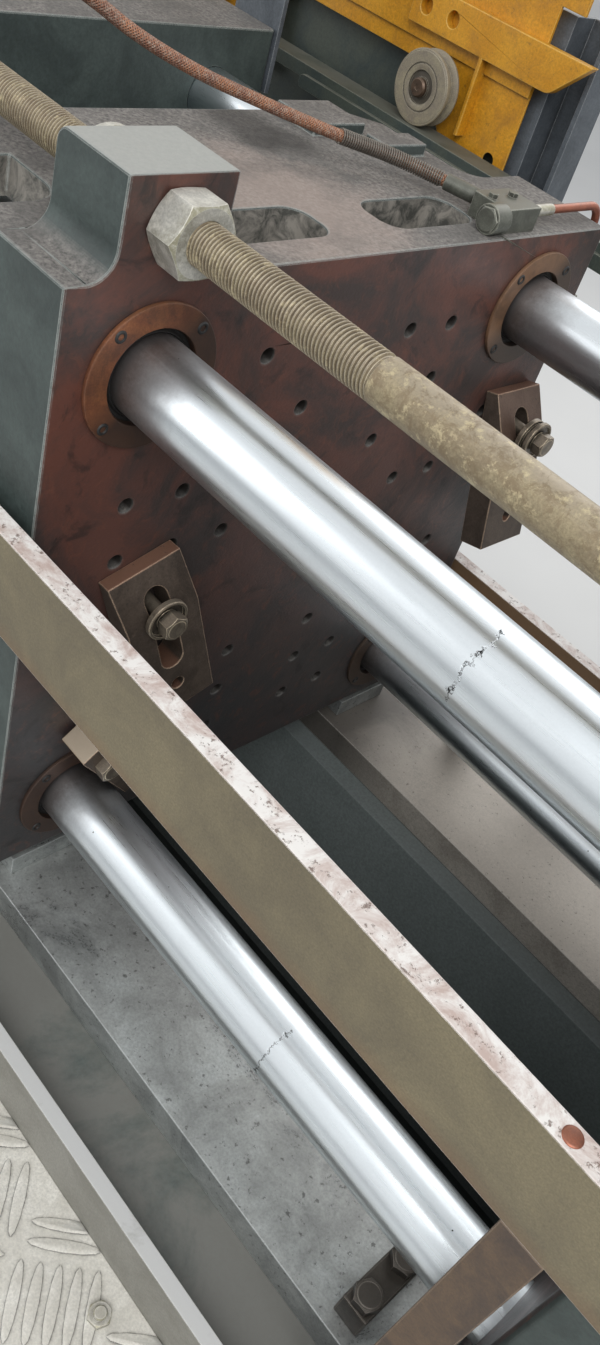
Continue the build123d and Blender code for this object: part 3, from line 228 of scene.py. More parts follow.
def thread(name, major, minor, pitch, length, steps=24):
    """A screw thread on Z from height 0 up, swept with its pitch."""
    deselect()
    bpy.ops.mesh.primitive_plane_add(size=0.01)
    piece = named(name)
    bpy.ops.object.mode_set(mode="EDIT")
    bpy.ops.mesh.select_all(action="SELECT")
    bpy.ops.mesh.merge(type="CENTER")
    bpy.ops.transform.translate(value=(minor, 0, 0))
    steps_of_profile = (
        (major - minor, pitch * 0.38), (0, pitch * 0.18), (minor - major, pitch * 0.38),
        (0, pitch * 0.06),
    )
    for across, along in steps_of_profile:
        bpy.ops.mesh.extrude_region_move(TRANSFORM_OT_translate={"value": (across, 0, along)})
    bpy.ops.object.mode_set(mode="OBJECT")
    screw = piece.modifiers.new("Thread", "SCREW")
    screw.axis = "Z"
    screw.screw_offset = pitch
    screw.iterations = max(1, round(length / pitch) - 1)
    screw.steps = screw.render_steps = steps
    screw.use_merge_vertices = True
    screw.merge_threshold = 1e-5
    bpy.ops.object.modifier_apply(modifier=screw.name)
    bpy.ops.object.mode_set(mode="EDIT")
    bpy.ops.mesh.select_all(action="SELECT")
    bpy.ops.mesh.remove_doubles(threshold=2e-6)
    bpy.ops.mesh.fill_holes(sides=0)
    bpy.ops.mesh.normals_make_consistent(inside=False)
    bpy.ops.object.mode_set(mode="OBJECT")
    bpy.ops.object.shade_smooth_by_angle(angle=math.radians(50))
    return piece


def along(direction):
    """Turns Z to one of the directions +X, -X, +Y or -Y."""
    turns = {
        "+X": Matrix.Rotation(math.pi / 2, 4, "Y"),
        "-X": Matrix.Rotation(-math.pi / 2, 4, "Y"),
        "+Y": Matrix.Rotation(-math.pi / 2, 4, "X"),
        "-Y": Matrix.Rotation(math.pi / 2, 4, "X"),
        "+Z": Matrix.Identity(4),
    }
    return turns[direction]


def put(piece, place, direction="+Z", turn=0.0):
    """Puts a piece that was made at the origin where it belongs, in its mesh."""
    spin = Matrix.Rotation(math.radians(turn), 4, "Z")
    piece.data.transform(Matrix.Translation(place) @ along(direction) @ spin)
    piece.data.update()
    return piece


def copied(piece, name, matrix=None):
    """A copy of a piece with its own mesh, moved in its mesh by a matrix."""
    twin = bpy.data.objects.new(name, piece.data.copy())
    bpy.context.scene.collection.objects.link(twin)
    if matrix is not None:
        twin.data.transform(matrix)
    return twin


def set_in_places(model, name, places, direction="+Z", turns=None):
    """Copies of one model at many places, joined to one piece. The model goes."""
    turns = turns or [0.0] * len(places)
    copies = []
    for number, (place, turn) in enumerate(zip(places, turns)):
        spin = Matrix.Rotation(math.radians(turn), 4, "Z")
        matrix = Matrix.Translation(place) @ along(direction) @ spin
        copies.append(copied(model, f"{name}_{number}", matrix))
    bpy.data.objects.remove(model)
    return joined(copies, name)


def joined(pieces, name):
    """Joins pieces to one."""
    deselect()
    for piece in pieces:
        piece.select_set(True)
    bpy.context.view_layer.objects.active = pieces[0]
    if len(pieces) > 1:
        bpy.ops.object.join()
    pieces[0].name = name
    return pieces[0]


def merged(node, name, flat=0.5):
    """A copy of a solid's mesh with its doubled points and its flat faces merged."""
    piece = copied(frame["nodes"][node], name)
    activate(piece)
    bpy.ops.object.mode_set(mode="EDIT")
    bpy.ops.mesh.select_all(action="SELECT")
    bpy.ops.mesh.remove_doubles(threshold=2e-6)
    bpy.ops.mesh.customdata_custom_splitnormals_clear()
    bpy.ops.mesh.dissolve_limited(angle_limit=math.radians(flat))
    bpy.ops.object.mode_set(mode="OBJECT")
    return piece


def dressed(node, name, width, segments=2, angle=30):
    """A copy of a solid's mesh with its faces merged and its edges rounded."""
    return soften(merged(node, name), width, segments, angle)


def united(nodes, name):
    """One skin around several solids that touch."""
    whole, *others = [merged(node, f"{name}_{number}") for number, node in enumerate(nodes)]
    for other in others:
        activate(whole)
        union = whole.modifiers.new("Union", "BOOLEAN")
        union.operation, union.solver, union.object = "UNION", "EXACT", other
        bpy.ops.object.modifier_apply(modifier=union.name)
        bpy.data.objects.remove(other)
    activate(whole)
    bpy.ops.object.mode_set(mode="EDIT")
    bpy.ops.mesh.select_all(action="SELECT")
    bpy.ops.mesh.remove_doubles(threshold=1e-4)
    bpy.ops.mesh.dissolve_degenerate(threshold=1e-4)
    bpy.ops.mesh.dissolve_limited(angle_limit=math.radians(0.6))
    bpy.ops.mesh.fill_holes(sides=12)
    bpy.ops.mesh.normals_make_consistent(inside=False)
    bpy.ops.object.mode_set(mode="OBJECT")
    whole.name = name
    return whole


def loose_boxes(node):
    """The lowest and the highest corner of each loose part of a solid, from left to right."""
    mesh = bmesh.new()
    mesh.from_mesh(frame["nodes"][node].data)
    bmesh.ops.remove_doubles(mesh, verts=mesh.verts, dist=2e-6)
    mesh.verts.index_update()
    seen, boxes = set(), []
    for first in mesh.verts:
        if first.index in seen:
            continue
        seen.add(first.index)
        waiting, part = [first], []
        while waiting:
            vertex = waiting.pop()
            part.append(vertex.co.copy())
            for edge in vertex.link_edges:
                other = edge.other_vert(vertex)
                if other.index not in seen:
                    seen.add(other.index)
                    waiting.append(other)
        low, high = (Vector([pick(p[axis] for p in part) for axis in range(3)]) for pick in (min, max))
        boxes.append((low, high))
    mesh.free()
    return sorted(boxes, key=lambda box: tuple(round(value, 4) for value in box[0]))


def plate_screw(name, head, depth, steps=20):
    """A socket head cap screw on Z: a low cylinder with a chamfer and a hexagonal socket."""
    socket = head * 0.5
    return turned(name, [
        (0, 0.0002), (socket * 0.9, 0.0002), (socket, 0.0006), (socket, depth - 0.0008),
        (socket + 0.0004, depth), (head - 0.0012, depth), (head, depth - 0.0012), (head, 0), (0, 0),
    ], steps)


def bolt_head(name, flats, height, shank, length, stud=0.0, foot=0.0):
    """A hexagon bolt on Z: its shank below 0, its head above, a turned face on top and below."""
    head = hexagonal(name, flats, height, 0.0)
    crown = turned(name + "_crown", [
        (0, height + 0.0004), (flats * 0.40, height + 0.0004), (flats * 0.42, height - 0.0002),
        (flats * 0.42, height - 0.002), (0, height - 0.002),
    ], 24)
    body = turned(name + "_shank", [(0, 0.001), (shank, 0.001), (shank, -length), (0, -length)], 20)
    parts = [head, crown, body]
    if foot:
        parts.append(turned(name + "_collar", [
            (0, 0.001), (flats * 0.46, 0.001), (flats * 0.46, -foot), (0, -foot),
        ], 24))
    if stud:
        parts.append(turned(name + "_stud", [
            (0, height + stud), (shank - 0.0015, height + stud), (shank, height + stud - 0.0015),
            (shank, height), (0, height),
        ], 20))
    return joined(parts, name)


def ring_washer(name, bore, width, thick, dish=0.0, steps=36):
    """A washer on Z with broken corners, and dished inside its rim."""
    rim = width - 0.0034 if dish else bore + 0.0005
    return turned(name, [
        (bore, 0), (width - 0.0006, 0), (width, 0.0006), (width, thick - 0.0008),
        (width - 0.0009, thick), (rim, thick), (rim - 0.0005, thick - max(dish, 0.0005)),
        (bore, thick - max(dish, 0.0005)), (bore, 0),
    ], steps)


def finish(piece, body, finish_name, replaces=()):
    """Gives a piece its finish and its body, and hides the solids that it stands for."""
    material, slot = FINISHES[finish_name]
    if replaces:
        slot = SLOT_OF[replaces[0]]
    piece.data.materials.clear()
    piece.data.materials.append(bpy.data.materials[material])
    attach(piece, body)
    if replaces:
        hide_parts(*replaces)
    return piece


def dress(node, name, width, body, finish_name):
    """Stands a copy with rounded edges and a finish in for a solid."""
    return finish(dressed(node, name, width), body, finish_name, (node,))


# Materials

def linear(code, alpha=1.0):
    """The linear colour of an sRGB hex value."""
    parts = [int(code[place:place + 2], 16) / 255 for place in (1, 3, 5)]
    parts = [v / 12.92 if v <= 0.04045 else ((v + 0.055) / 1.055) ** 2.4 for v in parts]
    return (*parts, alpha)


def add(tree, kind, *values, **settings):
    """Adds a node. Its values go to its open sockets in order, its settings by their names.

    The kind may end in a space and the node's operation, or a mix's data type. A value is a
    number, a hex colour, a colour of the panel, or a node or socket to link from.
    """
    kind, _, mode = kind.partition(" ")
    node = tree.nodes.new("ShaderNode" + kind)
    if mode:
        setattr(node, "data_type" if kind == "Mix" else "operation", mode)
    for name in [name for name in settings if name not in node.inputs]:
        setattr(node, name, settings.pop(name))
    sockets = [socket for socket in node.inputs if socket.enabled]
    sockets = sockets[:len(values)] + [node.inputs[name] for name in settings]
    for socket, value in zip(sockets, (*values, *settings.values())):
        if isinstance(value, bpy.types.Node):
            value = next(output for output in value.outputs if output.enabled)
        if isinstance(value, bpy.types.NodeSocket):
            tree.links.new(value, socket)
        elif isinstance(value, str):
            socket.default_value = linear(value)
        elif isinstance(value, Color):
            socket.default_value = (*value, 1.0)
        else:
            socket.default_value = value
    return node


def per_mm(size):
    """Noise scale for features of about a size in millimetres."""
    return 1000.0 / size


def new_material(finish_name):
    """An empty node material for a finish, and its tree."""
    material = bpy.data.materials.new(FINISHES[finish_name][0])
    material.use_nodes = True
    material.node_tree.nodes.clear()
    return material, material.node_tree


def weathered(finish_name, colours, patch, grain, wear, dust, sheen, metal=0.0, relief=0.15, corner=0.0015,
              special=None, hollow_shade_and_grime=("#26231f", 0.6), crevice=0.012, speckle=0.45):
    """A surface in two tones with worn corners, crud and painted shade in hollows, dust on top and grain.

    colours are two tones, patch and grain sizes in mm, wear (colour, amount), dust (colour,
    amount), sheen the lowest and highest roughness, relief the grain's depth in mm, and the
    hollows' (colour, amount) paints shade, with crud, where ambient occlusion finds a hollow
    within a distance of crevice.
    special may change the colour and roughness before they reach the shader.
    """
    material, tree = new_material(finish_name)
    place = add(tree, "TexCoord").outputs["Object"]
    facing = add(tree, "NewGeometry").outputs["True Normal"]
    apart = add(tree, "SeparateXYZ", facing)
    where = add(tree, "SeparateXYZ", place)
    large = add(tree, "TexNoise", place, per_mm(patch), 6.0, 0.68, Distortion=0.5)
    fine = add(tree, "TexNoise", place, per_mm(grain), 5.0, 0.68)
    colour = add(tree, "Mix RGBA", add(tree, "MapRange", large, 0.4, 0.6), colours[0], colours[1])
    speck = add(tree, "MapRange", fine, 0.32, 0.66, 0.21, 1.0)
    colour = add(tree, "Mix RGBA", speckle, colour, speck, blend_type="MULTIPLY")
    rounded = add(tree, "Bevel", samples=4, Radius=corner)
    meet = add(tree, "VectorMath DOT_PRODUCT", rounded, facing)
    edge = add(tree, "Math SUBTRACT", 1.0, meet.outputs["Value"])
    ragged = add(
        tree, "Math MULTIPLY", edge,
        add(tree, "Math MULTIPLY", add(tree, "TexNoise", place, per_mm(9), 5.0, 0.75), 9.0),
    )
    ragged = add(tree, "MapRange", ragged, 0.12, 0.3, 0.0, wear[1])
    up = add(tree, "MapRange", apart.outputs["Z"], 0.55, 0.95)
    settled = add(tree, "Math MULTIPLY", up, add(tree, "MapRange", large, 0.3, 0.5))
    settled = add(tree, "Math MULTIPLY", settled, dust[1])
    colour = add(tree, "Mix RGBA", settled, colour, dust[0])
    sockets = {
        "place": place, "facing": apart, "where": where, "large": large, "fine": fine, "up": up,
        "worn": ragged,
    }
    gloss = add(tree, "MapRange", fine, 0.0, 1.0, sheen[0], sheen[1])
    gloss = add(tree, "Math MAXIMUM", gloss, add(tree, "Math MULTIPLY", settled, 0.85))
    height = fine
    if special:
        colour, gloss, height = special(tree, sockets, colour, gloss, height)
    # Painted shade with crud: ambient occlusion darkens the colour in hollows within crevice
    hollow = add(tree, "AmbientOcclusion", samples=4, only_local=True, Distance=crevice).outputs["AO"]
    hollow = add(
        tree, "Math MULTIPLY_ADD", add(tree, "TexNoise", place, per_mm(7), 3.0, 0.6), 0.35, hollow,
    )
    hollow = add(tree, "MapRange", hollow, 1.0, 0.74)
    hollow = add(tree, "Math MULTIPLY", hollow, hollow_shade_and_grime[1])
    colour = add(tree, "Mix RGBA", hollow, colour, hollow_shade_and_grime[0])
    colour = add(tree, "Mix RGBA", sockets["worn"], colour, wear[0])
    bump = add(tree, "Bump", Strength=0.7, Distance=relief * 0.001, Height=height, Normal=rounded)
    shader = add(
        tree, "BsdfPrincipled", Metallic=metal, Roughness=gloss, Normal=bump, **{"Base Color": colour},
    )
    add(tree, "OutputMaterial", shader)
    return material


def close_to(tree, sockets, centre, reach):
    """1 at a place in millimetres from the moving face, falling to 0 at a reach in mm."""
    apart = add(tree, "VectorMath DISTANCE", sockets["place"], at(*centre))
    ragged = add(tree, "Math MULTIPLY", add(tree, "Math SUBTRACT", sockets["large"], 0.5), reach * 0.0014)
    far = add(tree, "Math ADD", apart.outputs["Value"], ragged)
    return add(tree, "MapRange", far, reach * 0.001, reach * 0.0004)


def within(tree, value, low, high):
    """1 where a value lies between two limits, else 0."""
    over = add(tree, "Math GREATER_THAN", value, low)
    return add(tree, "Math MULTIPLY", over, add(tree, "Math LESS_THAN", value, high))


def rust_face(tree, sockets, colour, gloss, height):
    """The platens' machined faces rusted red-brown and oily, tops under sandy dust, painted shade in
    holes.
    """
    place, where, facing = sockets["place"], sockets["where"], sockets["facing"]
    moving = add(
        tree, "Math MULTIPLY", add(tree, "Math GREATER_THAN", facing.outputs["X"], 0.7),
        within(tree, where.outputs["X"], FACE - 0.003, FACE + 0.003),
    )
    fixed = add(
        tree, "Math MULTIPLY", add(tree, "Math LESS_THAN", facing.outputs["X"], -0.7),
        within(tree, where.outputs["X"], FIXED_FACE - 0.003, FIXED_FACE + 0.003),
    )
    face = add(tree, "Math MAXIMUM", moving, fixed)
    cloud = add(tree, "TexNoise", place, per_mm(130), 7.0, 0.68, Distortion=0.9)
    rust = add(tree, "Mix RGBA", add(tree, "MapRange", cloud, 0.4, 0.58), "#5e3a30", "#3b302d")
    low = add(
        tree, "MapRange", add(tree, "Math MULTIPLY_ADD", cloud, 0.2, where.outputs["Z"]), AXIS + 0.3,
        AXIS - 0.12,
    )
    rust = add(tree, "Mix RGBA", add(tree, "Math MULTIPLY", low, 0.85), rust, "#343536")
    streak = add(
        tree, "MapRange", add(tree, "TexNoise", place, per_mm(26), 6.0, 0.75, Distortion=1.5), 0.54,
        0.66,
    )
    rust = add(tree, "Mix RGBA", add(tree, "Math MULTIPLY", streak, 0.4), rust, "#6f4536")
    black = add(
        tree, "MapRange", add(tree, "TexNoise", place, per_mm(60), 6.0, 0.7, Distortion=1.0), 0.56, 0.64,
    )
    rust = add(tree, "Mix RGBA", add(tree, "Math MULTIPLY", black, 0.6), rust, "#211d1c")
    colour = add(tree, "Mix RGBA", face, colour, rust)
    # Painted shade deep in the holes behind either face
    inner = add(
        tree, "Math MAXIMUM", within(tree, where.outputs["X"], FACE - 0.06, FACE - 0.0006),
        within(tree, where.outputs["X"], FIXED_FACE + 0.0006, FIXED_FACE + 0.06),
    )
    inner = add(tree, "Math MULTIPLY", inner, within(tree, where.outputs["Y"], -0.375, 0.375))
    inner = add(tree, "Math MULTIPLY", inner, within(tree, where.outputs["Z"], AXIS - 0.36, AXIS + 0.36))
    colour = add(tree, "Mix RGBA", inner, colour, "#2a2624")
    # Dust on the walls and floors of the cored pockets
    pocket = add(
        tree, "Math MULTIPLY", within(tree, where.outputs["X"], FACE - 0.4, FACE - 0.02),
        within(tree, where.outputs["Y"], -0.3, 0.3),
    )
    pocket = add(
        tree, "Math MULTIPLY", pocket, within(tree, where.outputs["Z"], AXIS + 0.2, AXIS + 0.372),
    )
    dust = add(
        tree, "Mix RGBA",
        add(
            tree, "MapRange", add(tree, "TexNoise", place, per_mm(24), 6.0, 0.72, Distortion=0.8), 0.4,
            0.6,
        ),
        "#4c4b46", "#9a948b",
    )
    colour = add(tree, "Mix RGBA", add(tree, "Math MULTIPLY", pocket, 0.9), colour, dust)
    # The rims of the holes aren't rubbed bright as the casting's outer edges are
    rims = within(tree, where.outputs["Y"], -0.34, 0.34)
    rims = add(tree, "Math MULTIPLY", rims, within(tree, where.outputs["Z"], AXIS - 0.34, AXIS + 0.34))
    rims = add(tree, "Math SUBTRACT", 1.0, add(tree, "Math MULTIPLY", rims, 0.85))
    sockets["worn"] = add(tree, "Math MULTIPLY", sockets["worn"], rims)
    oily = add(tree, "MapRange", cloud, 0.0, 1.0, 0.3, 0.66)
    gloss = add(
        tree, "Math MULTIPLY_ADD", oily, face,
        add(tree, "Math MULTIPLY", gloss, add(tree, "Math SUBTRACT", 1.0, face)),
    )
    grains = add(tree, "TexNoise", place, per_mm(5), 10.0, 0.82)
    sand = add(tree, "Mix RGBA", add(tree, "MapRange", grains, 0.38, 0.62), "#4b4947", "#97928c")
    sand = add(
        tree, "Mix RGBA", add(tree, "MapRange", sockets["large"], 0.46, 0.6, 0.0, 0.55), sand, "#5c5a57",
    )
    pink = close_to(tree, sockets, (-110, -60, 374), 170)
    sand = add(tree, "Mix RGBA", add(tree, "Math MULTIPLY", pink, 0.5), sand, "#b3a095")
    # Painted shadow of an unmodelled cast hollow at the top's back edge: three dark patches on the sand
    for centre, reach in (((-310, 54, 374), 60), ((-251, 80, 374), 45), ((-252, 38, 374), 40)):
        painted_notch_shadow = close_to(tree, sockets, centre, reach)
        sand = add(tree, "Mix RGBA", add(tree, "Math MULTIPLY", painted_notch_shadow, 0.7), sand, "#2c2a28")
    boss = add(tree, "Math GREATER_THAN", where.outputs["Z"], AXIS + 0.43)
    sand = add(tree, "Mix RGBA", add(tree, "Math MULTIPLY", boss, 0.8), sand, "#b0b1ab")
    colour = add(tree, "Mix RGBA", sockets["up"], colour, sand)
    gloss = add(tree, "Math MAXIMUM", gloss, add(tree, "Math MULTIPLY", sockets["up"], 0.8))
    coarse = add(tree, "Math MULTIPLY", add(tree, "Math MULTIPLY", grains, sockets["up"]), 3.5)
    height = add(tree, "Math ADD", height, coarse)
    return colour, gloss, height


def plated(tree, sockets, colour, gloss, height):
    """Hard chrome, ground bright: fine scratches along the bar, pits, and two ragged cracks."""
    place = sockets["place"]
    apart = sockets["where"]
    x, y, z = apart.outputs["X"], apart.outputs["Y"], apart.outputs["Z"]
    stretched = add(tree, "Mapping", place, Scale=(0.02, 1.0, 1.0))
    scratch = add(tree, "TexNoise", stretched, per_mm(1.4), 3.0, 0.7)
    gloss = add(tree, "MapRange", scratch, 0.0, 1.0, 0.2, 0.4)
    # Across the bar from its own axis, so that the cracks can be set by their angle
    across = add(tree, "Math ADD", y, BAR)
    high = add(tree, "Math GREATER_THAN", z, AXIS)
    middle = add(tree, "Math MULTIPLY_ADD", high, 2 * BAR, AXIS - BAR)
    over = add(tree, "Math SUBTRACT", z, middle)
    angle = add(tree, "Math ARCTAN2", over, add(tree, "Math MULTIPLY", across, -1.0))
    front = add(tree, "Math LESS_THAN", y, 0.0)
    wander = add(tree, "Math SUBTRACT", add(tree, "TexNoise", place, per_mm(11), 8.0, 0.8), 0.5)
    line = add(tree, "Math MULTIPLY_ADD", wander, 0.034, x)
    line = add(tree, "Math SUBTRACT", line, add(tree, "Math MULTIPLY_ADD", high, 0.004, FACE + 0.406))
    width = add(
        tree, "MapRange", add(tree, "TexNoise", place, per_mm(5), 4.0, 0.6), 0.3, 0.75, 0.0, 0.0017,
    )
    crack = add(tree, "Math LESS_THAN", add(tree, "Math ABSOLUTE", line), width)
    reach = within(tree, angle, -0.35, 1.5)
    crack = add(tree, "Math MULTIPLY", add(tree, "Math MULTIPLY", crack, reach), front)
    pits = add(tree, "TexVoronoi", Scale=per_mm(16), Randomness=1.0, Vector=place)
    chosen = add(tree, "SeparateColor", pits.outputs["Color"])
    pit = add(
        tree, "Math MULTIPLY", add(tree, "Math LESS_THAN", pits.outputs["Distance"], 0.055),
        add(tree, "Math LESS_THAN", chosen, 0.12),
    )
    dark = add(tree, "Math MAXIMUM", crack, pit)
    smear = add(tree, "MapRange", add(tree, "TexNoise", stretched, per_mm(12), 3.0, 0.6), 0.45, 0.75)
    colour = add(tree, "Mix RGBA", add(tree, "Math MULTIPLY", smear, 0.2), colour, "#b4bcc1")
    # Old grease that the wiper has left just in front of the moving platen
    near = add(
        tree, "MapRange", add(tree, "Math MULTIPLY_ADD", wander, 0.05, x), FACE + 0.085, FACE + 0.012,
    )
    near = add(tree, "Math MULTIPLY", near, add(tree, "Math GREATER_THAN", x, FACE - 0.2))
    colour = add(tree, "Mix RGBA", add(tree, "Math MULTIPLY", near, 0.8), colour, "#55463f")
    gloss = add(tree, "Math MULTIPLY_ADD", near, 0.2, gloss)
    colour = add(tree, "Mix RGBA", dark, colour, "#171412")
    gloss = add(tree, "Math MAXIMUM", gloss, add(tree, "Math MULTIPLY", dark, 0.8))
    height = add(
        tree, "Math SUBTRACT", add(tree, "Math MULTIPLY", scratch, 0.3),
        add(tree, "Math MULTIPLY", dark, 3.0),
    )
    return colour, gloss, height


def worn_top(tree, sockets, colour, gloss, height):
    """Khaki enamel rubbed off the top of a guard beam, and rust creeping up from its foot."""
    place = sockets["place"]
    up = add(tree, "MapRange", sockets["facing"].outputs["Z"], 0.6, 0.9)
    cloud = add(tree, "TexNoise", place, per_mm(45), 6.0, 0.75, Distortion=0.6)
    primer = add(tree, "Mix RGBA", add(tree, "MapRange", cloud, 0.42, 0.62), "#ebe7e2", "#c0aca3")
    chip = add(tree, "MapRange", add(tree, "TexNoise", place, per_mm(8), 5.0, 0.75), 0.58, 0.63)
    primer = add(tree, "Mix RGBA", add(tree, "Math MULTIPLY", chip, 0.85), primer, "#6f5b50")
    speck = add(tree, "MapRange", add(tree, "TexNoise", place, per_mm(2.5), 4.0, 0.7), 0.56, 0.66)
    colour = add(tree, "Mix RGBA", add(tree, "Math MULTIPLY", speck, 0.4), colour, "#5f563f")
    foot = add(
        tree, "MapRange", add(tree, "Math MULTIPLY_ADD", cloud, 0.03, sockets["where"].outputs["Z"]),
        BEAM_FOOT + 0.035, BEAM_FOOT - 0.002,
    )
    colour = add(tree, "Mix RGBA", add(tree, "Math MULTIPLY", foot, 0.6), colour, "#7a563a")
    colour = add(tree, "Mix RGBA", up, colour, primer)
    return colour, gloss, height


def streaked(tree, sockets, colour, gloss, height):
    """Ground steel under old oil: dark stains and drips over a grey sheen."""
    place = sockets["place"]
    oil = add(
        tree, "MapRange", add(tree, "TexNoise", place, per_mm(150), 9.0, 0.75, Distortion=0.8), 0.54,
        0.64,
    )
    drops = add(tree, "MapRange", add(tree, "TexNoise", place, per_mm(9), 6.0, 0.7), 0.6, 0.64)
    colour = add(tree, "Mix RGBA", add(tree, "Math MULTIPLY", oil, 0.45), colour, "#565858")
    colour = add(tree, "Mix RGBA", add(tree, "Math MULTIPLY", drops, 0.6), colour, "#2e2b28")
    gloss = add(tree, "Math SUBTRACT", gloss, add(tree, "Math MULTIPLY", oil, 0.14))
    return colour, gloss, height


def speckled(tree, sockets, colour, gloss, height):
    """Pale ground steel with dark specks, black with grease near the moving platen."""
    drops = add(
        tree, "MapRange", add(tree, "TexNoise", sockets["place"], per_mm(6), 6.0, 0.75), 0.6, 0.66,
    )
    colour = add(tree, "Mix RGBA", add(tree, "Math MULTIPLY", drops, 0.7), colour, "#4a443d")
    near = add(
        tree, "MapRange",
        add(tree, "Math MULTIPLY_ADD", sockets["large"], 0.1, sockets["where"].outputs["X"]), FACE + 0.2,
        FACE + 0.08,
    )
    colour = add(tree, "Mix RGBA", add(tree, "Math MULTIPLY", near, 0.8), colour, "#3a3632")
    return colour, gloss, height


def grimy(tree, sockets, colour, gloss, height):
    """Brown dirt and rubbed spots on yellow enamel."""
    place = sockets["place"]
    dirt = add(
        tree, "MapRange", add(tree, "TexNoise", place, per_mm(60), 7.0, 0.72, Distortion=0.8), 0.5, 0.66,
    )
    speckle = add(tree, "MapRange", add(tree, "TexNoise", place, per_mm(6), 5.0, 0.7), 0.6, 0.65)
    colour = add(tree, "Mix RGBA", add(tree, "Math MULTIPLY", dirt, 0.5), colour, "#9a6c2c")
    colour = add(tree, "Mix RGBA", add(tree, "Math MULTIPLY", speckle, 0.5), colour, "#5a4424")
    return colour, gloss, height


def rusted_rod(tree, sockets, colour, gloss, height):
    """Zinc gone dull, with brown mottling where it was touched and pale patches of painted glints."""
    place = sockets["place"]
    mottle = add(
        tree, "MapRange", add(tree, "TexNoise", place, per_mm(12), 8.0, 0.8, Distortion=0.5), 0.48, 0.58,
    )
    colour = add(tree, "Mix RGBA", add(tree, "Math MULTIPLY", mottle, 0.7), colour, "#776750")
    # Painted glints: pale patches over the dull zinc
    pale = add(tree, "MapRange", add(tree, "TexNoise", place, per_mm(14), 7.0, 0.8), 0.54, 0.62)
    colour = add(tree, "Mix RGBA", add(tree, "Math MULTIPLY", pale, 0.6), colour, "#cbbd98")
    return colour, gloss, height


def chalky(tree, sockets, colour, gloss, height):
    """Galvanised steel with a white bloom and olive dirt on its slanted chamfers."""
    slant = within(tree, add(tree, "Math ABSOLUTE", sockets["facing"].outputs["X"]), 0.25, 0.93)
    colour = add(tree, "Mix RGBA", add(tree, "Math MULTIPLY", slant, 0.55), colour, "#85805f")
    bloom = add(
        tree, "MapRange", add(tree, "TexNoise", sockets["place"], per_mm(12), 6.0, 0.75), 0.5, 0.62,
    )
    colour = add(tree, "Mix RGBA", add(tree, "Math MULTIPLY", bloom, 0.6), colour, "#dcd9ce")
    return colour, gloss, height


def pitted(tree, sockets, colour, gloss, height):
    """Forged steel: brown scale, rust on the slants, pits, and a pale end on the heel bar."""
    place = sockets["place"]
    slant = add(tree, "MapRange", sockets["facing"].outputs["Z"], 0.45, 0.7)
    colour = add(tree, "Mix RGBA", add(tree, "Math MULTIPLY", slant, 0.6), colour, "#8a6350")
    pit = add(tree, "MapRange", add(tree, "TexNoise", place, per_mm(4), 5.0, 0.75), 0.6, 0.66)
    colour = add(tree, "Mix RGBA", add(tree, "Math MULTIPLY", pit, 0.75), colour, "#241d19")
    end = add(
        tree, "Math MULTIPLY", add(tree, "Math LESS_THAN", sockets["facing"].outputs["Y"], -0.5),
        add(tree, "Math LESS_THAN", sockets["where"].outputs["Z"], AXIS - 0.145),
    )
    end = add(
        tree, "Math MULTIPLY", end, add(tree, "Math GREATER_THAN", sockets["facing"].outputs["Z"], 0.3),
    )
    colour = add(tree, "Mix RGBA", add(tree, "Math MULTIPLY", end, 0.85), colour, "#c9bba6")
    height = add(tree, "Math SUBTRACT", height, add(tree, "Math MULTIPLY", pit, 1.5))
    return colour, gloss, height


def dark_hub(tree, sockets, colour, gloss, height):
    """Nylon rollers, black with old grease round their hubs."""
    x, z = sockets["where"].outputs["X"], sockets["where"].outputs["Z"]
    for node in ("gate_roller_leading", "gate_roller_trailing"):
        middle = (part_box(node)[0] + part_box(node)[1]) / 2
        away = add(
            tree, "CombineXYZ", add(tree, "Math SUBTRACT", x, middle.x),
            add(tree, "Math SUBTRACT", z, middle.z),
        )
        far = add(tree, "VectorMath LENGTH", away)
        hub = add(tree, "MapRange", far.outputs["Value"], 0.024, 0.0205)
        colour = add(tree, "Mix RGBA", add(tree, "Math MULTIPLY", hub, 0.85), colour, "#38332d")
    return colour, gloss, height


def greasy_ring_and_bar_shadow(tree, sockets, colour, gloss, height):
    """Bronze showing on the upper flanges, black grease over the lower ones, and each tie bar's painted
    shadow.
    """
    place = sockets["place"]
    y, z = sockets["where"].outputs["Y"], sockets["where"].outputs["Z"]
    low = add(tree, "Math LESS_THAN", z, AXIS)
    # Across each ring from its middle, so that a painted shadow of the tie bar covers the lower right of
    # it
    across = add(tree, "Math SUBTRACT", y, add(tree, "Math MULTIPLY", add(tree, "Math SIGN", y), BAR))
    slope = add(
        tree, "Math SUBTRACT", add(tree, "Math MULTIPLY", across, 0.75),
        add(tree, "Math MULTIPLY", add(tree, "Math SUBTRACT", z, AXIS + BAR), 0.65),
    )
    slope = add(tree, "Math MULTIPLY_ADD", sockets["fine"], 0.02, slope)
    tie_bar_shadow = add(tree, "MapRange", slope, -0.022, 0.012)
    crud = add(
        tree, "MapRange", add(tree, "TexNoise", place, per_mm(45), 6.0, 0.7, Distortion=0.8), 0.46, 0.62,
    )
    amount = add(
        tree, "Math MAXIMUM", add(tree, "Math MULTIPLY", low, 0.85),
        add(tree, "Math MULTIPLY", crud, 0.4),
    )
    amount = add(tree, "Math MAXIMUM", amount, add(tree, "Math MULTIPLY", tie_bar_shadow, 0.82))
    dull = add(tree, "Math MULTIPLY", add(tree, "Math GREATER_THAN", y, 0.0), 0.75)
    colour = add(tree, "Mix RGBA", dull, colour, "#80664f")
    colour = add(tree, "Mix RGBA", amount, colour, "#2e2a27")
    return colour, gloss, height


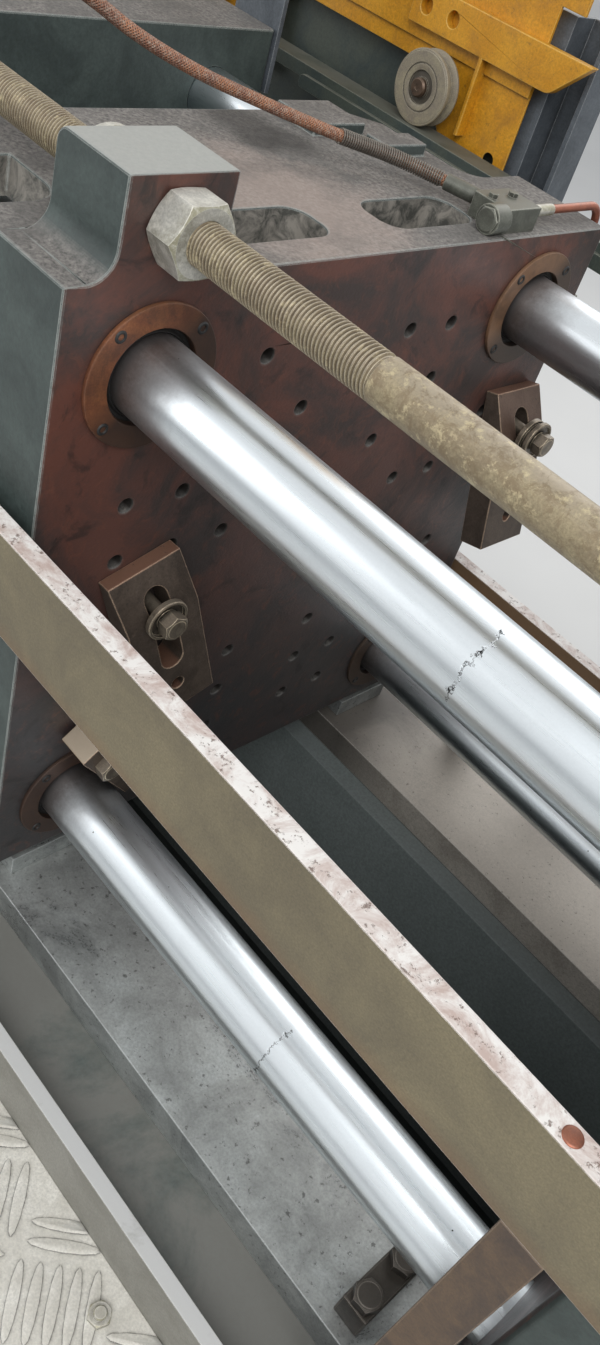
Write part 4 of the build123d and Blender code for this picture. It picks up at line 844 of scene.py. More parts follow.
def braided(finish_name):
    """Hose braid: copper-coloured wires crossing at a slant, with pale dust on the strands."""
    material, tree = new_material(finish_name)
    spread = add(tree, "UVMap", uv_map="Braid")
    place = add(tree, "TexCoord").outputs["Object"]
    apart = add(tree, "SeparateXYZ", spread)
    around, length = apart.outputs["X"], apart.outputs["Y"]
    # Real wires are too fine to show. These strands are coarse: 10 each way, rising 30 mm in a turn
    strands, per_metre = 10.0, 330.0
    one = add(tree, "Math MULTIPLY_ADD", length, per_metre, add(tree, "Math MULTIPLY", around, strands))
    two = add(
        tree, "Math SUBTRACT", add(tree, "Math MULTIPLY", around, strands),
        add(tree, "Math MULTIPLY", length, per_metre),
    )
    wave_one = add(tree, "Math SINE", add(tree, "Math MULTIPLY", one, math.pi * 2))
    wave_two = add(tree, "Math SINE", add(tree, "Math MULTIPLY", two, math.pi * 2))
    weave = add(tree, "Math MAXIMUM", wave_one, wave_two)
    weave = add(tree, "MapRange", weave, -0.6, 1.0)
    tone = add(
        tree, "Mix RGBA",
        add(tree, "MapRange", add(tree, "TexNoise", place, per_mm(24), 4.0, 0.6), 0.4, 0.62), "#a87354",
        "#835c4b",
    )
    tone = add(tree, "Mix RGBA", add(tree, "MapRange", weave, 0.15, 0.75), "#4a332a", tone)
    dusty = add(tree, "MapRange", add(tree, "TexNoise", place, per_mm(3), 5.0, 0.75), 0.5, 0.62)
    tone = add(tree, "Mix RGBA", add(tree, "Math MULTIPLY", dusty, 0.5), tone, "#cdbcab")
    bump = add(tree, "Bump", Strength=0.8, Distance=0.0008, Height=weave)
    gloss = add(tree, "MapRange", dusty, 0.0, 1.0, 0.42, 0.7)
    shader = add(
        tree, "BsdfPrincipled", Metallic=0.35, Roughness=gloss, Normal=bump, **{"Base Color": tone},
    )
    add(tree, "OutputMaterial", shader)
    return material


def glazed(finish_name):
    """Polycarbonate sheet, slightly smoked and scratched, so it shows a soft haze."""
    material, tree = new_material(finish_name)
    place = add(tree, "TexCoord").outputs["Object"]
    haze = add(tree, "TexNoise", place, per_mm(3), 4.0, 0.7)
    gloss = add(tree, "MapRange", haze, 0.0, 1.0, 0.08, 0.3)
    tone = add(
        tree, "Mix RGBA",
        add(tree, "MapRange", add(tree, "TexNoise", place, per_mm(70), 4.0, 0.6), 0.4, 0.7), "#c7cfcb",
        "#a9b2ad",
    )
    bump = add(tree, "Bump", Strength=0.2, Distance=0.0001, Height=haze)
    shader = add(
        tree, "BsdfPrincipled", IOR=1.58, Roughness=gloss, Normal=bump,
        **{"Transmission Weight": 0.85, "Base Color": tone},
    )
    add(tree, "OutputMaterial", shader)
    return material


def make_materials(colours):
    """Makes one material for each finish of the machine."""
    # Green-grey machine enamel on welded sheet: satin, with oily dirt
    weathered("bed", (colours.bed, "#3f4846"), 160, 5, ("#8d918c", 0.8), ("#8b8780", 0.5),
              (0.4, 0.62), relief=0.12)
    # Dark slate enamel over cast iron: sandy dust lies on top, the machined face rusts
    weathered("platen", (colours.platen, "#47524f"), 90, 4, ("#a5a9a4", 0.9), ("#8f8a84", 0.2),
              (0.42, 0.7), relief=0.5, corner=0.0022, special=rust_face, crevice=0.02)
    # The same enamel on the hydraulic cylinder, cleaner and glossier
    weathered("cylinder", ("#55605d", "#48524f"), 140, 5, ("#9aa09c", 0.7), ("#8b8780", 0.6),
              (0.32, 0.5), relief=0.15)
    # Ground carbon steel: grey sheen with stains of oil
    weathered("ground_steel", (colours.steel, "#989c9b"), 80, 3, ("#cfd2d2", 0.8), ("#aaa9a4", 0.35),
              (0.28, 0.5), metal=0.6, relief=0.08, special=streaked)
    # The rear way plate, drier: matt beige-grey with specks
    weathered("pale_steel", ("#c4bcb1", "#aea69b"), 80, 3, ("#dcd7d0", 0.7), ("#c9c1b6", 0.5),
              (0.4, 0.62), metal=0.2, relief=0.1, special=speckled)
    # Steel blocks under years of grease: nearly black, shiny in places
    weathered("stop", ("#4b4641", "#37332f"), 30, 2.5, ("#8c857c", 0.7), ("#5e5850", 0.5),
              (0.28, 0.55), metal=0.5, relief=0.25)
    # Oiled steel of the axles, brown at the hub
    weathered("axle", ("#6b5646", "#54453a"), 14, 1.5, ("#97846f", 0.7), ("#7b6c5b", 0.3),
              (0.3, 0.5), metal=0.6, relief=0.05, corner=0.0006)
    # Forged steel clamps, browned and rusty on their slants
    weathered("clamp", (colours.clamp, "#4f453d"), 40, 2.5, ("#c2a88f", 1.0), ("#8a6b58", 0.5),
              (0.4, 0.65), metal=0.45, relief=0.3, corner=0.0018, special=pitted)
    # Olive-grey paint on the manifold's steel, chipped along its edges
    weathered("manifold", ("#6b6d63", "#5a5b53"), 16, 1.5, ("#a9a99c", 0.9), ("#77766b", 0.5),
              (0.36, 0.58), metal=0.3, relief=0.08, corner=0.0009)
    # Hard chrome on a ground bar: bright, streaked along
    weathered("chrome", (colours.chrome, "#d8dee2"), 200, 2, ("#d5d8da", 0.0), ("#c5cace", 0.0),
              (0.2, 0.4), metal=1.0, relief=0.02, special=plated, hollow_shade_and_grime=("#26231f", 0.0), speckle=0.06)
    # Galvanised steel: pale, chalky grey
    weathered("zinc", (colours.zinc, "#a8a598"), 30, 2, ("#e6e3da", 0.8), ("#c4bfb4", 0.4),
              (0.4, 0.6), metal=0.4, relief=0.12, corner=0.001, special=chalky, crevice=0.006)
    # Bolts whose zinc has browned under oil, with bright worn corners and dark painted shade between
    # washer and head
    weathered("bolt", ("#94897a", "#73695c"), 14, 1.5, ("#d8c8ac", 0.9), ("#9c9182", 0.4),
              (0.26, 0.5), metal=0.6, relief=0.08, corner=0.0009, hollow_shade_and_grime=("#1f1c1a", 0.95), crevice=0.009)
    # Zinc-plated rod gone dull, mottled with rust and with pale painted glints
    weathered("rod", (colours.rod, "#8e8069"), 60, 2, ("#d6ccb6", 0.7), ("#b0a594", 0.5),
              (0.42, 0.62), metal=0.4, relief=0.12, corner=0.0006, special=rusted_rod,
              hollow_shade_and_grime=("#4b4035", 0.8), crevice=0.003)
    # Khaki enamel on the guard beams, rubbed to the primer on top
    weathered("khaki", (colours.khaki, "#716853"), 120, 2.2, ("#efe6e0", 1.0), ("#d8cdc6", 0.3),
              (0.48, 0.7), relief=0.25, corner=0.002, special=worn_top)
    # Red-brown primer and rust on the posts
    weathered("post", ("#64513f", "#4d4037"), 40, 2.5, ("#a08c78", 0.8), ("#7d6b5a", 0.4),
              (0.5, 0.75), relief=0.4, corner=0.0012)
    # Grey-beige enamel on the lip bars, pale where arms rub it
    weathered("trim", (colours.trim, "#828077"), 90, 3, ("#d8d6d0", 0.9), ("#c2c2c0", 0.9),
              (0.4, 0.6), relief=0.12)
    # Aluminium checker plate: matt, with dirt and painted shade round its bars
    weathered("tread", (colours.tread, "#dad6cb"), 50, 2.5, ("#efeee8", 0.5), ("#d0cdc4", 0.4),
              (0.4, 0.6), metal=0.25, relief=0.1, hollow_shade_and_grime=("#1e1b18", 1.0), crevice=0.005, corner=0.0004)
    # Dark olive enamel on the gate's rail
    weathered("rail", (colours.rail, "#3b4543"), 70, 3, ("#8d8f80", 0.8), ("#77766a", 0.5),
              (0.42, 0.62), relief=0.1)
    # Grey primer on the rear uprights, bluish
    weathered("upright", ("#676d73", "#555b61"), 70, 3, ("#a5a9ac", 0.8), ("#85888a", 0.5),
              (0.42, 0.62), metal=0.2, relief=0.1)
    # Bed enamel inside the part chute, oily and even, painted lighter than the bed to stand in for light
    # in the chute's shade
    weathered("chute", (colours.chute, "#757d7b"), 220, 4, ("#949a97", 0.5), ("#7d8383", 0.3),
              (0.42, 0.55), relief=0.06)
    # Yellow enamel on the guard gate, grimy where it is handled
    weathered("yellow", (colours.yellow, "#d2921f"), 90, 3, ("#ecc96f", 0.8), ("#c9973a", 0.35),
              (0.3, 0.5), relief=0.12, special=grimy, hollow_shade_and_grime=("#5a4424", 0.6))
    # Cream nylon rollers: waxy, with crud and painted shade in the grooves
    weathered("nylon", (colours.nylon, "#8a8070"), 20, 1.5, ("#c5bda8", 0.6), ("#8f8874", 0.4),
              (0.42, 0.6), relief=0.05, corner=0.0008, special=dark_hub, hollow_shade_and_grime=("#2e2924", 0.85),
              crevice=0.006)
    # Bronze bushing flanges under oil, with a painted shadow of each tie bar on its flange
    weathered("bronze", (colours.bronze, "#7a4c36"), 30, 2, ("#6b5546", 0.3), ("#8c6a4e", 0.3),
              (0.38, 0.6), metal=0.3, relief=0.12, special=greasy_ring_and_bar_shadow)
    # Copper tube, tarnished to a dull red
    weathered("copper", ("#a8664e", "#8c5443"), 18, 1.2, ("#c88766", 0.6), ("#9c7564", 0.4),
              (0.35, 0.55), metal=0.6, relief=0.03, corner=0.0004)
    # Black nitrile rubber of wipers and seals
    weathered("seal", ("#1c1d1e", "#262524"), 20, 1.5, ("#3a3a38", 0.5), ("#3a3733", 0.4),
              (0.5, 0.72), relief=0.05, corner=0.0004)
    # Spring steel guard on the hose, grey-brown and dusty
    weathered("spring", ("#6b625a", "#54493f"), 15, 1.0, ("#9b978e", 0.6), ("#857f76", 0.5),
              (0.4, 0.6), metal=0.5, relief=0.03, corner=0.0003)
    braided("braid")
    glazed("glazing")


# Pieces

def make_stage():
    """Floor, world, lamps and the camera at the photograph's angle."""
    deselect()
    bpy.ops.mesh.primitive_plane_add(size=60, location=(0, 0, FLOOR))
    floor = named("floor")
    material = bpy.data.materials.new("pale_floor")
    material.use_nodes = True
    tree = material.node_tree
    tree.nodes.clear()
    place = add(tree, "TexCoord").outputs["Object"]
    cloud = add(tree, "TexNoise", place, per_mm(900), 3.0, 0.6)
    tone = add(tree, "Mix RGBA", add(tree, "MapRange", cloud, 0.3, 0.7), "#e9e8e5", "#e3e2df")
    shader = add(tree, "BsdfDiffuse", Color=tone)
    add(tree, "OutputMaterial", shader)
    floor.data.materials.append(material)

    scene = bpy.context.scene
    world = bpy.data.worlds.new("studio")
    scene.world = world
    world.use_nodes = True
    tree = world.node_tree
    tree.nodes.clear()
    seen = add(tree, "LightPath")
    shown = add(tree, "Math MAXIMUM", seen.outputs["Is Camera Ray"], seen.outputs["Is Glossy Ray"])
    shown = add(tree, "Math MAXIMUM", shown, seen.outputs["Is Transmission Ray"])
    tone = add(tree, "Mix RGBA", shown, "#b9bcc0", "#ffffff")
    shader = add(tree, "Background", Strength=1.0, Color=tone)
    add(tree, "OutputWorld", shader)

    lamps = (
        ("key_lamp", (2.6, -2.4, 4.4), (0.2, 0.0, 1.2), 3.0, 150),
        ("fill_lamp", (-3.6, -3.2, 3.2), (0.0, 0.0, 1.0), 3.5, 60),
        ("back_lamp", (-0.5, 3.8, 3.9), (0.0, 0.3, 1.2), 3.0, 60),
    )
    for name, place, aim, size, power in lamps:
        bpy.ops.object.light_add(type="AREA", location=place)
        lamp = bpy.context.object
        lamp.name = name
        lamp.data.size = size
        lamp.data.energy = power
        lamp.rotation_euler = (Vector(aim) - Vector(place)).to_track_quat("-Z", "Y").to_euler()

    deselect()
    bpy.ops.object.camera_add()
    camera = bpy.context.object
    camera.name = "photo_camera"
    turn = Matrix(CAMERA_AXES).transposed()
    camera.matrix_world = Matrix.Translation(CAMERA_PLACE) @ turn.to_4x4()
    camera.data.lens = LENS
    camera.data.sensor_width = SENSOR
    camera.data.clip_end = 100
    scene.camera = camera
    scene.view_settings.view_transform = "Standard"


def finish_solids():
    """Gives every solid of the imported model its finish."""
    first = {}
    for material, slot in FINISHES.values():
        first.setdefault(slot, material)
    for part in frame["record"]["subparts"]:
        solid = frame["nodes"][part["node"]]
        solid.data.materials.clear()
        solid.data.materials.append(bpy.data.materials[first[part["material_slot"]]])


def route_points(points):
    """Points on the smooth line that a route's control points draw."""
    curve = bpy.data.curves.new("route", "CURVE")
    curve.dimensions = "3D"
    curve.resolution_u = 12
    spline = curve.splines.new("NURBS")
    spline.points.add(len(points) - 1)
    for point, place in zip(spline.points, points):
        point.co = (*place, 1.0)
    spline.order_u = 3
    spline.use_endpoint_u = True
    line = bpy.data.objects.new("route", curve)
    bpy.context.scene.collection.objects.link(line)
    mesh = bpy.data.meshes.new_from_object(line)
    path = [vertex.co.copy() for vertex in mesh.vertices]
    bpy.data.objects.remove(line)
    return path


def frames_along(path):
    """Lengths, directions and two turning-free side axes along a path."""
    lengths, frames = [0.0], []
    for before, after in zip(path, path[1:]):
        lengths.append(lengths[-1] + (after - before).length)
    side = None
    for number in range(len(path)):
        ahead = path[min(number + 1, len(path) - 1)] - path[max(number - 1, 0)]
        ahead.normalize()
        if side is None:
            side = ahead.orthogonal().normalized()
        side = (side - ahead * side.dot(ahead)).normalized()
        frames.append((side, ahead.cross(side)))
    return lengths, frames


def at_length(path, lengths, frames, wanted):
    """The place and side axes at a length along a path."""
    number = 0
    while number < len(path) - 2 and lengths[number + 1] < wanted:
        number += 1
    share = (wanted - lengths[number]) / (lengths[number + 1] - lengths[number])
    place = path[number].lerp(path[number + 1], share)
    return place, [
        frames[number][axis].lerp(frames[number + 1][axis], share).normalized() for axis in (0, 1)
    ]


def tube_along(name, path, radius, sides):
    """A round tube along a path, with a UV map of turn and length."""
    lengths, frames = frames_along(path)
    mesh = bmesh.new()
    spread = mesh.loops.layers.uv.new("Braid")
    rings = []
    for place, (side, up) in zip(path, frames):
        ring = []
        for number in range(sides):
            turn = 2 * math.pi * number / sides
            ring.append(mesh.verts.new(place + (side * math.cos(turn) + up * math.sin(turn)) * radius))
        rings.append(ring)
    for number in range(len(path) - 1):
        for corner in range(sides):
            after = (corner + 1) % sides
            face = mesh.faces.new((
                rings[number][corner], rings[number][after],
                rings[number + 1][after], rings[number + 1][corner],
            ))
            face.smooth = True
            turns = (corner / sides, (corner + 1) / sides)
            spots_of_face = (
                (turns[0], lengths[number]), (turns[1], lengths[number]),
                (turns[1], lengths[number + 1]), (turns[0], lengths[number + 1]),
            )
            for loop, spot in zip(face.loops, spots_of_face):
                loop[spread].uv = spot
    mesh.faces.new(reversed(rings[0]))
    mesh.faces.new(rings[-1])
    data = bpy.data.meshes.new(name)
    mesh.to_mesh(data)
    mesh.free()
    piece = bpy.data.objects.new(name, data)
    bpy.context.scene.collection.objects.link(piece)
    return piece


def make_hose(sizes):
    """The braided lubrication hose and the spring that guards its first stretch."""
    path = route_points(HOSE_POINTS)
    hose = tube_along("lubrication_hose", path, sizes.hose_width / 2, 20)
    finish(hose, "moving_platen", "braid", ("hose",))
    lengths, frames = frames_along(path)
    coil = []
    start, stop = 0.004, sizes.sleeve_length
    turns = round((stop - start) / sizes.sleeve_pitch)
    ring = sizes.hose_width / 2 + sizes.sleeve_wire * 0.45
    per_turn = 14
    for number in range(turns * per_turn + 1):
        place, (side, up) = at_length(
            path, lengths, frames, start + (stop - start) * number / (turns * per_turn),
        )
        turn = 2 * math.pi * number / per_turn
        coil.append(place + (side * math.cos(turn) + up * math.sin(turn)) * ring)
    sleeve = tube_along("hose_spring_guard", coil, sizes.sleeve_wire / 2, 6)
    finish(sleeve, "moving_platen", "spring")


def make_castings(sizes):
    """The three platens, each one skin with the rounded edges of a casting."""
    castings = (
        ("moving_platen_casting", "moving_platen",
         ("moving_platen", "moving_platen_web", "moving_platen_back", "moving_rod_boss")),
        ("fixed_platen_casting", "frame", ("fixed_platen", "fixed_rod_boss")),
        ("rear_platen_casting", "frame", ("rear_platen",)),
    )
    for name, body, nodes in castings:
        piece = soften(united(nodes, name), sizes.casting_edge, 2, 32)
        finish(piece, body, "platen", nodes)


def on_circle(x, middle, radius, count):
    """Evenly spread places on a circle round the machine's length, half a step off its side."""
    turns = [2 * math.pi * (number + 0.5) / count for number in range(count)]
    return [(x, middle.y + radius * math.cos(turn), middle.z + radius * math.sin(turn)) for turn in turns]


def make_drive(sizes):
    """The hydraulic cylinder with its flange, cap and gland, and their bolts."""
    edge = sizes.steel_edge
    low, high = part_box("clamp_cylinder")
    middle = (low + high) / 2
    for node in ("clamp_cylinder", "cylinder_flange", "cylinder_end_cap", "ram_gland"):
        dress(node, node + "_dressed", edge * 2, "frame", "cylinder")
    dress("ram_flange", "ram_flange_dressed", edge, "moving_platen", "ground_steel")

    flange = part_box("cylinder_flange")[0].x
    bolts = set_in_places(
        bolt_head("flange_bolt", 0.036, 0.015, 0.012, 0.0), "cylinder_flange_bolts",
        on_circle(flange, middle, FLANGE_CIRCLE, sizes.flange_bolts),
        "-X", [number * 17 for number in range(sizes.flange_bolts)],
    )
    finish(bolts, "frame", "ground_steel")

    rings = (
        ("gland_screws", "ram_gland", 1, "+X", GLAND_CIRCLE, 12, "frame"),
        ("ram_flange_screws", "ram_flange", 0, "-X", RAM_FLANGE_CIRCLE, 8, "moving_platen"),
    )
    for name, node, side, direction, radius, count, body in rings:
        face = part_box(node)[side].x
        places = on_circle(face, middle, radius, count)
        screws = set_in_places(plate_screw(name + "_model", 0.009, 0.012), name, places, direction)
        finish(screws, body, "ground_steel")


def make_tie_nuts(sizes):
    """The tie bars' nuts on both outer platens, with chamfered corners."""
    nuts = []
    for number, (low, high) in enumerate(loose_boxes("tie_nuts")):
        middle = (low + high) / 2
        outward = "-X" if middle.x < 0 else "+X"
        nut = hexagonal(f"tie_nut_{number}", high.y - low.y, high.x - low.x, sizes.bar_width / 2, True)
        foot = high.x if outward == "-X" else low.x
        nuts.append(put(nut, (foot, middle.y, middle.z), outward, 0))
    finish(joined(nuts, "tie_bar_nuts"), "frame", "ground_steel", ("tie_nuts",))


def make_bushings(sizes):
    """The tie bars' bushings: flanges with screws, and a black wiper in each recess."""
    dress("tie_bar_bushings", "bushing_flanges", 0.0012, "moving_platen", "bronze")
    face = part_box("tie_bar_bushings")[1].x
    bars = [(y, z) for y in (-BAR, BAR) for z in (AXIS - BAR, AXIS + BAR)]
    wiper = turned("wiper", [
        (0.0403, 0.0), (0.0403, 0.009), (0.0418, 0.0105), (0.0440, 0.0075), (0.0473, 0.0075),
        (0.0473, 0.0), (0.0403, 0.0),
    ], 64)
    places = [(face - 0.0158, y, z) for y, z in bars]
    finish(set_in_places(wiper, "bar_wipers", places, "+X"), "moving_platen", "seal")
    turns = [math.radians(sizes.screw_turn + 90 * number) for number in range(4)]
    places = []
    for y, z in bars:
        for turn in turns:
            across = math.copysign(BUSHING_CIRCLE, y) * math.cos(turn)
            places.append((face - 0.0004, y + across, z + BUSHING_CIRCLE * math.sin(turn)))
    screw = plate_screw("bushing_screw", 0.0062, 0.0016, 18)
    finish(set_in_places(screw, "bushing_screws", places, "+X"), "moving_platen", "seal")


def make_clamps(sizes):
    """The mould clamps, the heel bar, and their bolts and washers."""
    for node in ("mould_clamp_front", "mould_clamp_rear", "heel_block"):
        dress(node, node + "_forged", sizes.steel_edge, "moving_platen", "clamp")
    bolts = []
    heel, front, rear = sorted(loose_boxes("clamp_bolts"), key=lambda box: box[0].z)
    # Head height, washers from the head down (radius, thickness, dish), turn of the head
    fittings = (
        (heel, (), 0.017, 15), (front, ((0.025, 0.007, 0.0038),), 0.015, 8),
        (rear, ((0.025, 0.006, 0.002), (0.021, 0.005, 0.0), (0.025, 0.007, 0.0)), 0.015, 20),
    )
    for number, ((low, high), washers, height, turn) in enumerate(fittings):
        middle = (low + high) / 2
        seat = high.x - height
        bolt = bolt_head(f"clamp_bolt_{number}", 0.027, height - 0.0004, 0.008, seat - low.x, foot=0.0038)
        bolts.append(put(bolt, (seat, middle.y, middle.z), "+X", turn))
        for step, (width, thick, dish) in enumerate(washers):
            ring = ring_washer(f"clamp_washer_{number}_{step}", 0.0078, width, thick, dish)
            seat -= thick
            bolts.append(put(ring, (seat, middle.y, middle.z - 0.0008 * step), "+X"))
    finish(joined(bolts, "clamp_bolts_and_washers"), "moving_platen", "bolt", ("clamp_bolts",))


def make_safety_rod(sizes):
    """The safety rod: a plain bar with a threaded stretch, its nut and its washer."""
    low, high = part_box("safety_rod")
    radius = (high.z - low.z) / 2
    middle = (low + high) / 2
    minor = radius - 0.0022
    washer, nut = loose_boxes("safety_rod_nuts")
    thread_end = nut[1].x + sizes.rod_thread_ahead
    cut = radius - 0.003
    core = turned("safety_rod_core", [
        (0, low.x), (cut, low.x), (minor, low.x + 0.003), (minor, thread_end - 0.002),
        (radius, thread_end), (radius, high.x - 0.003), (cut, high.x), (0, high.x),
    ], 40)
    put(core, (0, middle.y, middle.z), "+X")
    screw = thread(
        "safety_rod_thread", radius - 0.0001, minor - 0.0002, sizes.rod_pitch,
        thread_end - low.x - 0.005, 28,
    )
    put(screw, (low.x + 0.002, middle.y, middle.z), "+X")
    rod = joined([core, screw], "threaded_safety_rod")
    finish(rod, "moving_platen", "rod", ("safety_rod",))

    flats = nut[1].y - nut[0].y
    front = hexagonal("rod_nut", flats, nut[1].x - nut[0].x, radius, True)
    put(front, (nut[0].x, middle.y, middle.z), "+X", 30)
    thick = washer[1].x - washer[0].x
    ring = ring_washer("rod_washer", radius, (washer[1].z - washer[0].z) / 2, thick, steps=48)
    put(ring, (washer[0].x, middle.y, middle.z), "+X")
    nuts = joined([front, ring], "rod_nut_and_washer")
    finish(nuts, "moving_platen", "zinc", ("safety_rod_nuts",))


def make_lubrication():
    """The manifold with its union, the ferrule and nipple of the hose, and the copper tube's sleeve."""
    block = dressed("lubrication_block", "lubrication_manifold", 0.0012)
    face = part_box("lubrication_block")
    caps = []
    for number, (x, y) in enumerate(((-0.041, 0.19), (-0.040, 0.225))):
        cap = hexagonal(f"manifold_cap_{number}", 0.010, 0.005)
        caps.append(put(cap, (FACE + x, y, face[1].z - 0.005), "+Z", 12 * number))
    # Union between the hose's ferrule and the block
    union = hexagonal("hose_union", 0.024, 0.008, 0.0)
    caps.append(put(union, at(-16, 163, 390), "-Y", 10))
    manifold = joined([block, *caps], "lubrication_manifold")
    finish(manifold, "moving_platen", "manifold", ("lubrication_block",))

    low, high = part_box("hose_nipple")
    middle = (low + high) / 2
    foot = hexagonal("nipple_foot", high.y - low.y, 0.012, 0.0)
    put(foot, (middle.x, middle.y, low.z), "+Z")
    nipple = joined([merged("hose_nipple", "nipple"), foot], "hose_nipple_fitting")
    soften(nipple, 0.0006)
    finish(nipple, "moving_platen", "zinc", ("hose_nipple",))

    dress("tube_fitting", "tube_elbow", 0.0015, "moving_platen", "manifold")
    tube_low, tube_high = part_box("copper_tube")
    tube_radius = (tube_high.x - tube_low.x) / 2
    sleeve = turned("tube_sleeve", [
        (tube_radius, 0), (0.0075, 0), (0.0078, 0.001), (0.0066, 0.004), (0.0066, 0.05),
        (0.0062, 0.052), (tube_radius, 0.052), (tube_radius, 0),
    ], 24)
    put(sleeve, (tube_low.x + tube_radius, tube_low.y, tube_high.z - tube_radius), "+Y")
    finish(sleeve, "moving_platen", "zinc")


def make_rollers(sizes):
    """The gate's grooved rollers and the heads and collars of their axles."""
    for node in ("gate_roller_leading", "gate_roller_trailing"):
        low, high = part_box(node)
        middle = (low + high) / 2
        outer, width = (high.z - low.z) / 2, high.y - low.y
        groove, rim = sizes.roller_groove, 0.005
        side = [
            (0.0081, 0.0), (0.0135, 0.0), (0.0140, 0.0030), (0.0215, 0.0030), (0.0222, 0.0004),
            (0.0228, 0.0), (0.0300, 0.0), (0.0304, 0.0014), (0.0320, 0.0014), (0.0324, 0.0),
            (0.0465, 0.0), (0.0470, 0.0006), (outer - 0.0012, 0.0006), (outer, 0.0016),
            (outer, rim - 0.0006), (outer - 0.0006, rim), (outer - groove, rim + 0.003),
        ]
        other = [(radius, width - height) for radius, height in reversed(side)]
        roller = turned(node + "_turned", side + other + [side[0]], 72)
        put(roller, (middle.x, low.y, middle.z), "+Y")
        finish(roller, node, "nylon", (node,))
    axles = []
    for number, (low, high) in enumerate(loose_boxes("gate_axles")):
        middle = (low + high) / 2
        roller_low, roller_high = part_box("gate_roller_leading")
        face, back = roller_low.y - low.y, roller_high.y - low.y
        axles.append(put(turned(f"axle_{number}", [
            (0, 0.0006), (0.0035, 0.0006), (0.0038, 0.0), (0.0108, 0.0), (0.0130, 0.0022),
            (0.0130, face - 0.0001), (0.0080, face), (0.0080, back), (0.0150, back + 0.0001),
            (0.0160, back + 0.0011), (0.0160, high.y - low.y), (0, high.y - low.y),
        ], 36), (middle.x, low.y, middle.z), "+Y"))
    finish(joined(axles, "gate_axles_turned"), "rear_gate", "axle", ("gate_axles",))


def make_gate():
    """The gate's panel and bar, and the rubber round its window."""
    dress("gate_panel", "gate_panel_sheet", 0.0008, "rear_gate", "yellow")
    dress("gate_bar", "gate_bar_welded", 0.0014, "rear_gate", "yellow")
    low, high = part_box("gate_window")
    proud, wide = 0.003, 0.012
    sides = (
        ((low.x - wide / 2, low.z - wide / 2), (high.x + wide / 2, low.z + wide / 2)),
        ((low.x - wide / 2, high.z - wide / 2), (high.x + wide / 2, high.z + wide / 2)),
        ((low.x - wide / 2, low.z), (low.x + wide / 2, high.z)),
        ((high.x - wide / 2, low.z), (high.x + wide / 2, high.z)),
    )
    frames = [
        bar_of_steel(f"gasket_{number}", (first[0], low.y - proud, first[1]),
                     (second[0], low.y + 0.001, second[1]), 0.0014)
        for number, (first, second) in enumerate(sides)
    ]
    finish(joined(frames, "window_gasket"), "rear_gate", "seal")


def make_beams(sizes):
    """The guard beams and their posts with broken edges, and the cap in the front beam."""
    for node in ("front_guard_beam", "rear_guard_beam"):
        dress(node, node + "_bar", sizes.steel_edge, "frame", "khaki")
    for node in ("front_beam_posts", "rear_beam_posts"):
        dress(node, node + "_bars", sizes.steel_edge, "frame", "post")
    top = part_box("front_guard_beam")[1].z
    cap = turned("beam_cap", [(0, 0.0012), (0.0062, 0.0012), (0.0074, 0.0006), (0.0078, 0), (0, 0)], 24)
    place = at(661, -409, 0)
    finish(put(cap, (place.x, place.y, top)), "frame", "copper")


def make_ways(sizes):
    """The way plates, their stops with hexagon bolts, and the lip bars."""
    for node, kind in (("front_way_plate", "ground_steel"), ("rear_way_plate", "pale_steel")):
        dress(node, node + "_ground", sizes.steel_edge, "frame", kind)
    dress("way_stops", "way_stop_blocks", 0.0022, "frame", "stop")
    dress("lip_bars", "lip_bars_sheet", sizes.steel_edge, "frame", "trim")
    low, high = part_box("way_stops")
    places = [((low.x + high.x) / 2, y, high.z - 0.0005) for y in (-0.335, -0.278, 0.278, 0.335)]
    bolt = bolt_head("stop_bolt", 0.030, 0.0125, 0.010, 0.0)
    bolts = set_in_places(bolt, "way_stop_bolts", places, "+Z", [4, 19, 33, 47])
    finish(bolts, "frame", "stop")
    dress("guide_shoes", "guide_shoes_ground", sizes.steel_edge, "moving_platen", "ground_steel")


